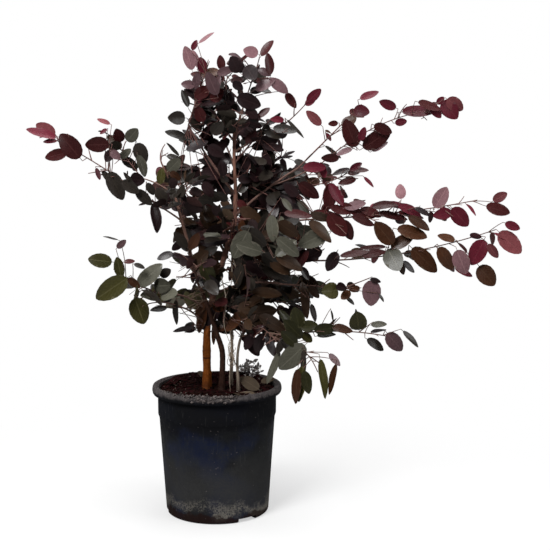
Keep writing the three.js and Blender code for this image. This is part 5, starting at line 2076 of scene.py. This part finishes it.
    def grow_twig(self, bud: Bud, heading: Point, reach: float, node: int) -> None:
        """Grow a side twig with leaves and short shoots in turn.

        Args:
            bud: where it leaves the spray's stem.
            heading: its direction.
            reach: its length.
            node: number of its node.
        """
        own = bud.own
        if not self.in_own_space(bud.root + heading * reach, own):
            reach *= self.twig_short
        wood = Draws(self.wood_seeds + 500 * own + node)
        path = self.add_twig(bud.root, bud.root + heading * reach, self.twig_radii, wood)
        count = max(2, round(reach / self.twig_leaf_gap))
        for number in range(1, count + 1):
            draws = self.draws_for(own, node, number)
            place = min(number / count, self.last_leaf)
            tangent = path.tangent(place)
            end = number == count
            turn = 0.0 if end else number * math.pi + draws.between(-self.twig_jitter, self.twig_jitter)
            side = heading if end else self.side_of(tangent, turn)
            leaf_bud = Bud(path.at(place), tangent, side, own, min(1.0, bud.share + 0.1), draws)
            if not end and number % 2 == 0 and draws.next() < GROWN[own].shoots:
                self.grow_shoot(leaf_bud)
            else:
                self.grow_leaf(leaf_bud)

    def grow_spray(self, own: int) -> None:
        """Grow one spray: its stem, then twigs, shoots and leaves in turn along it.

        Args:
            own: the spray's number.
        """
        spray, spine = GROWN[own], self.spines[own]
        parent = self.framework.limbs[spray.parent]
        share_of_parent = 1.0 if spray.at == 1.0 else self.framework.bough_foot
        start = min(self.stem_radii[0], parent.radius_at(spray.at * parent.path.length) * share_of_parent)
        add_tube(self.twigs, spine, taper(start, self.stem_radii[1], spine.length), 7,
                 round(spine.length / 7), self.framework.bark_relief(own * 1.9, 0.12), tone=0.4)
        grown = spine.length - self.first_node
        nodes = round(grown / (spray.gap * self.finer))
        turn, jitter = spray.form.value
        for node in range(nodes + 1):
            draws = self.draws_for(own, node)
            share = min((self.first_node + grown * node / nodes) / spine.length, self.last_node)
            root, tangent = spine.at(share), spine.tangent(share)
            bud = Bud(root, tangent, self.side_of(tangent, node * turn + draws.between(-jitter, jitter)), own,
                      share, draws)
            if node == nodes:
                self.grow_leaf(replace(bud, side=tangent, share=1.0))
            elif node % self.twig_every == 1 and draws.next() < spray.fill + self.twig_bonus:
                angle = math.radians(draws.between(*self.twig_angle))
                heading = unit(tangent * math.cos(angle) + bud.side * math.sin(angle))
                reach = spray.twig * (1 - self.twig_shrink * share) * draws.between(*self.twig_reach)
                self.grow_twig(bud, heading, reach, node)
            elif draws.next() < spray.shoots:
                self.grow_shoot(bud)
            else:
                self.grow_leaf(bud)

    def build(self) -> None:
        """Grow every spray and join its twigs and each colour of leaf."""
        self.lay_spines()
        lines = {name: limb.path for name, limb in self.framework.limbs.items()}
        lines |= {spray.name: spine for spray, spine in zip(SPRAYS, self.spines)}
        for number, (carrier, rows) in enumerate(SEEN.items()):
            for place, leaf in enumerate(rows):
                self.grow_seen(lines[carrier], leaf, Draws(self.seen_seeds + 100 * number + place))
        for name, low, high in self.bare:
            for point in (lines[name].at(share) for share in np.linspace(low, high, 30)):
                self.shown.append((*self.view.pixel_of(point), self.bare_reach, point[1]))
        for own in range(len(GROWN)):
            self.grow_spray(own)
        names = [spray.name for spray in SPRAYS]
        dress(self.twigs.build("spray_twigs", [BARKS["twig"].build(self.effects)]), "bough", *names)
        for kind, maker in self.makers.items():
            finish = kind.finish
            piece = maker.build(f"{finish.name}_mass", finish.build(self.effects))
            dress(piece, SHARED_SLOTS.get(kind, finish.name), *names)
        LOG.info("%d leaves", self.leaves)


@dataclass
class DryStalks:
    """Thin dead stalks, one of them frayed, and bare twigs among the low limbs."""

    effects: Effects
    framework: Framework
    lines: tuple[tuple[Place, ...], ...] = (
        ((37, -32, 212), (33, -36, 252), (26, -38, 276), (23, -40, 320), (22, -38, 352)),
        ((22, -34, 212), (21, -35, 240), (24, -37, 276), (22, -36, 320)),
        ((28, -30, 436), (36, -32, 404), (39, -30, 366), (34, -28, 340)),
        ((26, -30, 430), (24, -32, 392), (8, -26, 360)),
        ((8, -52, 408), (16, -56, 366), (12, -54, 330), (20, -48, 300)),
    )
    radii: Pair = (0.88, 0.4)
    fray: Place = (24.0, -38.0, 274.0)
    fibres: int = 46
    fibre_radius: float = 0.45
    hosts: tuple[tuple[str, float, float], ...] = (
        ("main_stem", 0.2, 0.42), ("left_stem", 0.3, 0.62), ("low_left_bough", 0.1, 0.9),
        ("back_stem", 0.5, 0.95), ("low_left_lower_bough", 0.1, 0.9), ("front_right_bough", 0.1, 0.6),
        ("low_right_bough", 0.1, 0.7),
    )
    twigs: int = 54
    twig_length: Pair = (28.0, 78.0)
    twig_radii: Pair = (0.85, 0.4)
    draws: Draws = field(default_factory=lambda: Draws(88))

    def build_stalks(self) -> None:
        """Build the dead stalks and the fibres of the frayed one."""
        maker, draws = MeshMaker(), self.draws
        for line in self.lines:
            path = through(line)
            add_tube(maker, path, taper(*self.radii, path.length), 6, 24)
        for _ in range(self.fibres):
            spread = np.array([draws.between(-6, 6), draws.between(-4, 4), draws.between(-22, 26)])
            start = np.array(self.fray) + spread * [0.4, 0.4, 1.0]
            tip = start + np.array([draws.between(-6, 6), draws.between(-3, 3), draws.between(6, 16)])
            middle = (start + tip) / 2 + spread * [0.5, 0.5, 0.05]
            add_tube(maker, through([start, middle, tip]), lambda _: self.fibre_radius, 4, 5, tone=0.9)
        dress(maker.build("dry_stalks", [BARKS["dry"].build(self.effects)]), "stem")

    def build_twigs(self) -> None:
        """Build the bare twigs on their hosts, with the draws that follow the fibres'."""
        thick, thin = self.twig_radii
        maker, draws = MeshMaker(), self.draws
        for number in range(self.twigs):
            name, low, high = self.hosts[number % len(self.hosts)]
            path, share = self.framework.limbs[name].path, draws.between(low, high)
            heading = unit(heading_of(draws.between(0, 360)) + UP * draws.between(-0.35, 0.7)
                           + path.tangent(share) * 0.4)
            reach = draws.between(*self.twig_length)
            foot = path.at(share)
            sway = heading_of(draws.between(0, 360)) * reach * 0.22 + UP * draws.between(-0.1, 0.3) * reach
            twig = through([foot, foot + heading * reach * 0.5 + sway, foot + heading * reach])
            add_tube(maker, twig, lambda along, r=reach: thick - (thick - thin) * min(1.0, along / r), 5, 9,
                     tone=draws.next())
        dress(maker.build("bare_twigs", [BARKS["bare"].build(self.effects)]), "bough")

    def build(self) -> None:
        """Build the stalks, then the twigs."""
        self.build_stalks()
        self.build_twigs()


@dataclass(frozen=True)
class Lamp:
    """A square soft lamp: where it hangs and the point that it faces, its side in metres, and its watts."""

    name: str
    place: Place
    aim: Place
    size: float
    power: float

    def build(self) -> None:
        """Hang the lamp."""
        lamp = bpy.data.lights.new(self.name, "AREA")
        lamp.shape = "SQUARE"
        lamp.size = self.size
        lamp.energy = self.power
        piece = add_object(self.name, lamp)
        piece.location = self.place
        piece.rotation_euler = (Vector(self.aim) - Vector(self.place)).to_track_quat("-Z", "Y").to_euler()


@dataclass
class Studio:
    """The camera at the photograph's place, a pale floor and soft light."""

    view: Viewpoint = Viewpoint()
    sensor: float = 36.0
    floor_half: float = 14000.0
    floor_drop: float = 0.4
    lamps: tuple[Lamp, ...] = (
        Lamp("key", (-1.1, -1.7, 2.2), (0.08, 0.0, 0.45), 1.0, 84.0),
        Lamp("overhead", (0.25, 0.2, 2.5), (0.08, 0.0, 0.4), 1.4, 47.0),
        Lamp("fill", (1.9, -1.0, 1.2), (0.1, 0.0, 0.45), 1.0, 20.0),
    )

    def add_camera(self) -> None:
        """Place the camera."""
        camera = bpy.data.cameras.new("viewpoint")
        camera.sensor_width = self.sensor
        camera.lens = self.sensor * self.view.focal_pixels / self.view.frame_pixels
        piece = add_object("viewpoint", camera)
        piece.location = Vector(self.view.place) * MM
        piece.rotation_euler = Vector(self.view.axes()[2]).to_track_quat("-Z", "Y").to_euler()
        bpy.context.scene.camera = piece

    def add_floor(self) -> None:
        """Lay the floor, which glows softly to the camera away from the pot, as a white sweep does."""
        maker = MeshMaker()
        half, low = self.floor_half, -self.floor_drop
        corners = np.array([[-half, -half, low], [half, -half, low], [half, half, low], [-half, half, low]])
        maker.add(corners, np.array([[0, 1, 2, 3]]))
        material, graph, shader = new_material("pale_floor", Specular_IOR_Level=0.1, Roughness=0.9)
        place = graph.place()
        seen = graph.add("ShaderNodeLightPath").outputs["Is Camera Ray"]
        pale = graph.blend(graph.speckle(place, 3.0, 2.0, 0.5), (0.66, 0.66, 0.66), (0.70, 0.70, 0.695))
        graph.join(shader, Base_Color=graph.blend(seen, (0.28, 0.28, 0.28), pale))
        away = graph.add("ShaderNodeVectorMath", {0: place}, operation="LENGTH").outputs["Value"]
        share = graph.share("MULTIPLY", seen, graph.fade(away, 0.12, 0.75, 0.5))
        glow = graph.add("ShaderNodeEmission", {"Color": (1.0, 1.0, 1.0, 1.0)}).outputs[0]
        mixed = graph.add("ShaderNodeMixShader", {0: share, 1: shader.outputs[0], 2: glow}).outputs[0]
        graph.join(material.node_tree.nodes["Material Output"], Surface=mixed)
        maker.build("floor", [material])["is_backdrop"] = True

    @staticmethod
    def add_sky() -> None:
        """Surround the scene with white that lights it softly from above."""
        world = bpy.data.worlds.new("studio")
        bpy.context.scene.world = world
        world.use_nodes = True
        graph = Graph(world.node_tree)
        height = graph.height(graph.add("ShaderNodeTexCoord").outputs["Generated"])
        dome = graph.blend(graph.fade(height, 0.15, 1.0), (0.02, 0.02, 0.021), (0.64, 0.64, 0.65))
        seen = graph.add("ShaderNodeLightPath").outputs["Is Camera Ray"]
        graph.join(world.node_tree.nodes["Background"], Color=graph.blend(seen, dome, (1.0, 1.0, 1.0)))

    def build(self) -> None:
        """Build the studio."""
        self.add_camera()
        self.add_floor()
        self.add_sky()
        for lamp in self.lamps:
            lamp.build()
        settings = bpy.context.scene.view_settings
        settings.view_transform = "Standard"
        settings.look = "None"


def main() -> None:
    """Build the whole scene, with the leaves kept within the solids' reach."""
    logging.basicConfig(level=logging.INFO, format="%(name)s: %(message)s")
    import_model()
    lowest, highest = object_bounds()
    effects = Effects()
    studio = Studio()
    studio.build()
    Pot(effects).build()
    PottingMix(effects).build()
    framework = Framework(effects)
    framework.build()
    Crown(effects, framework, lowest, highest, studio.view).build()
    DryStalks(effects, framework).build()


if __name__ == "__main__":
    main()
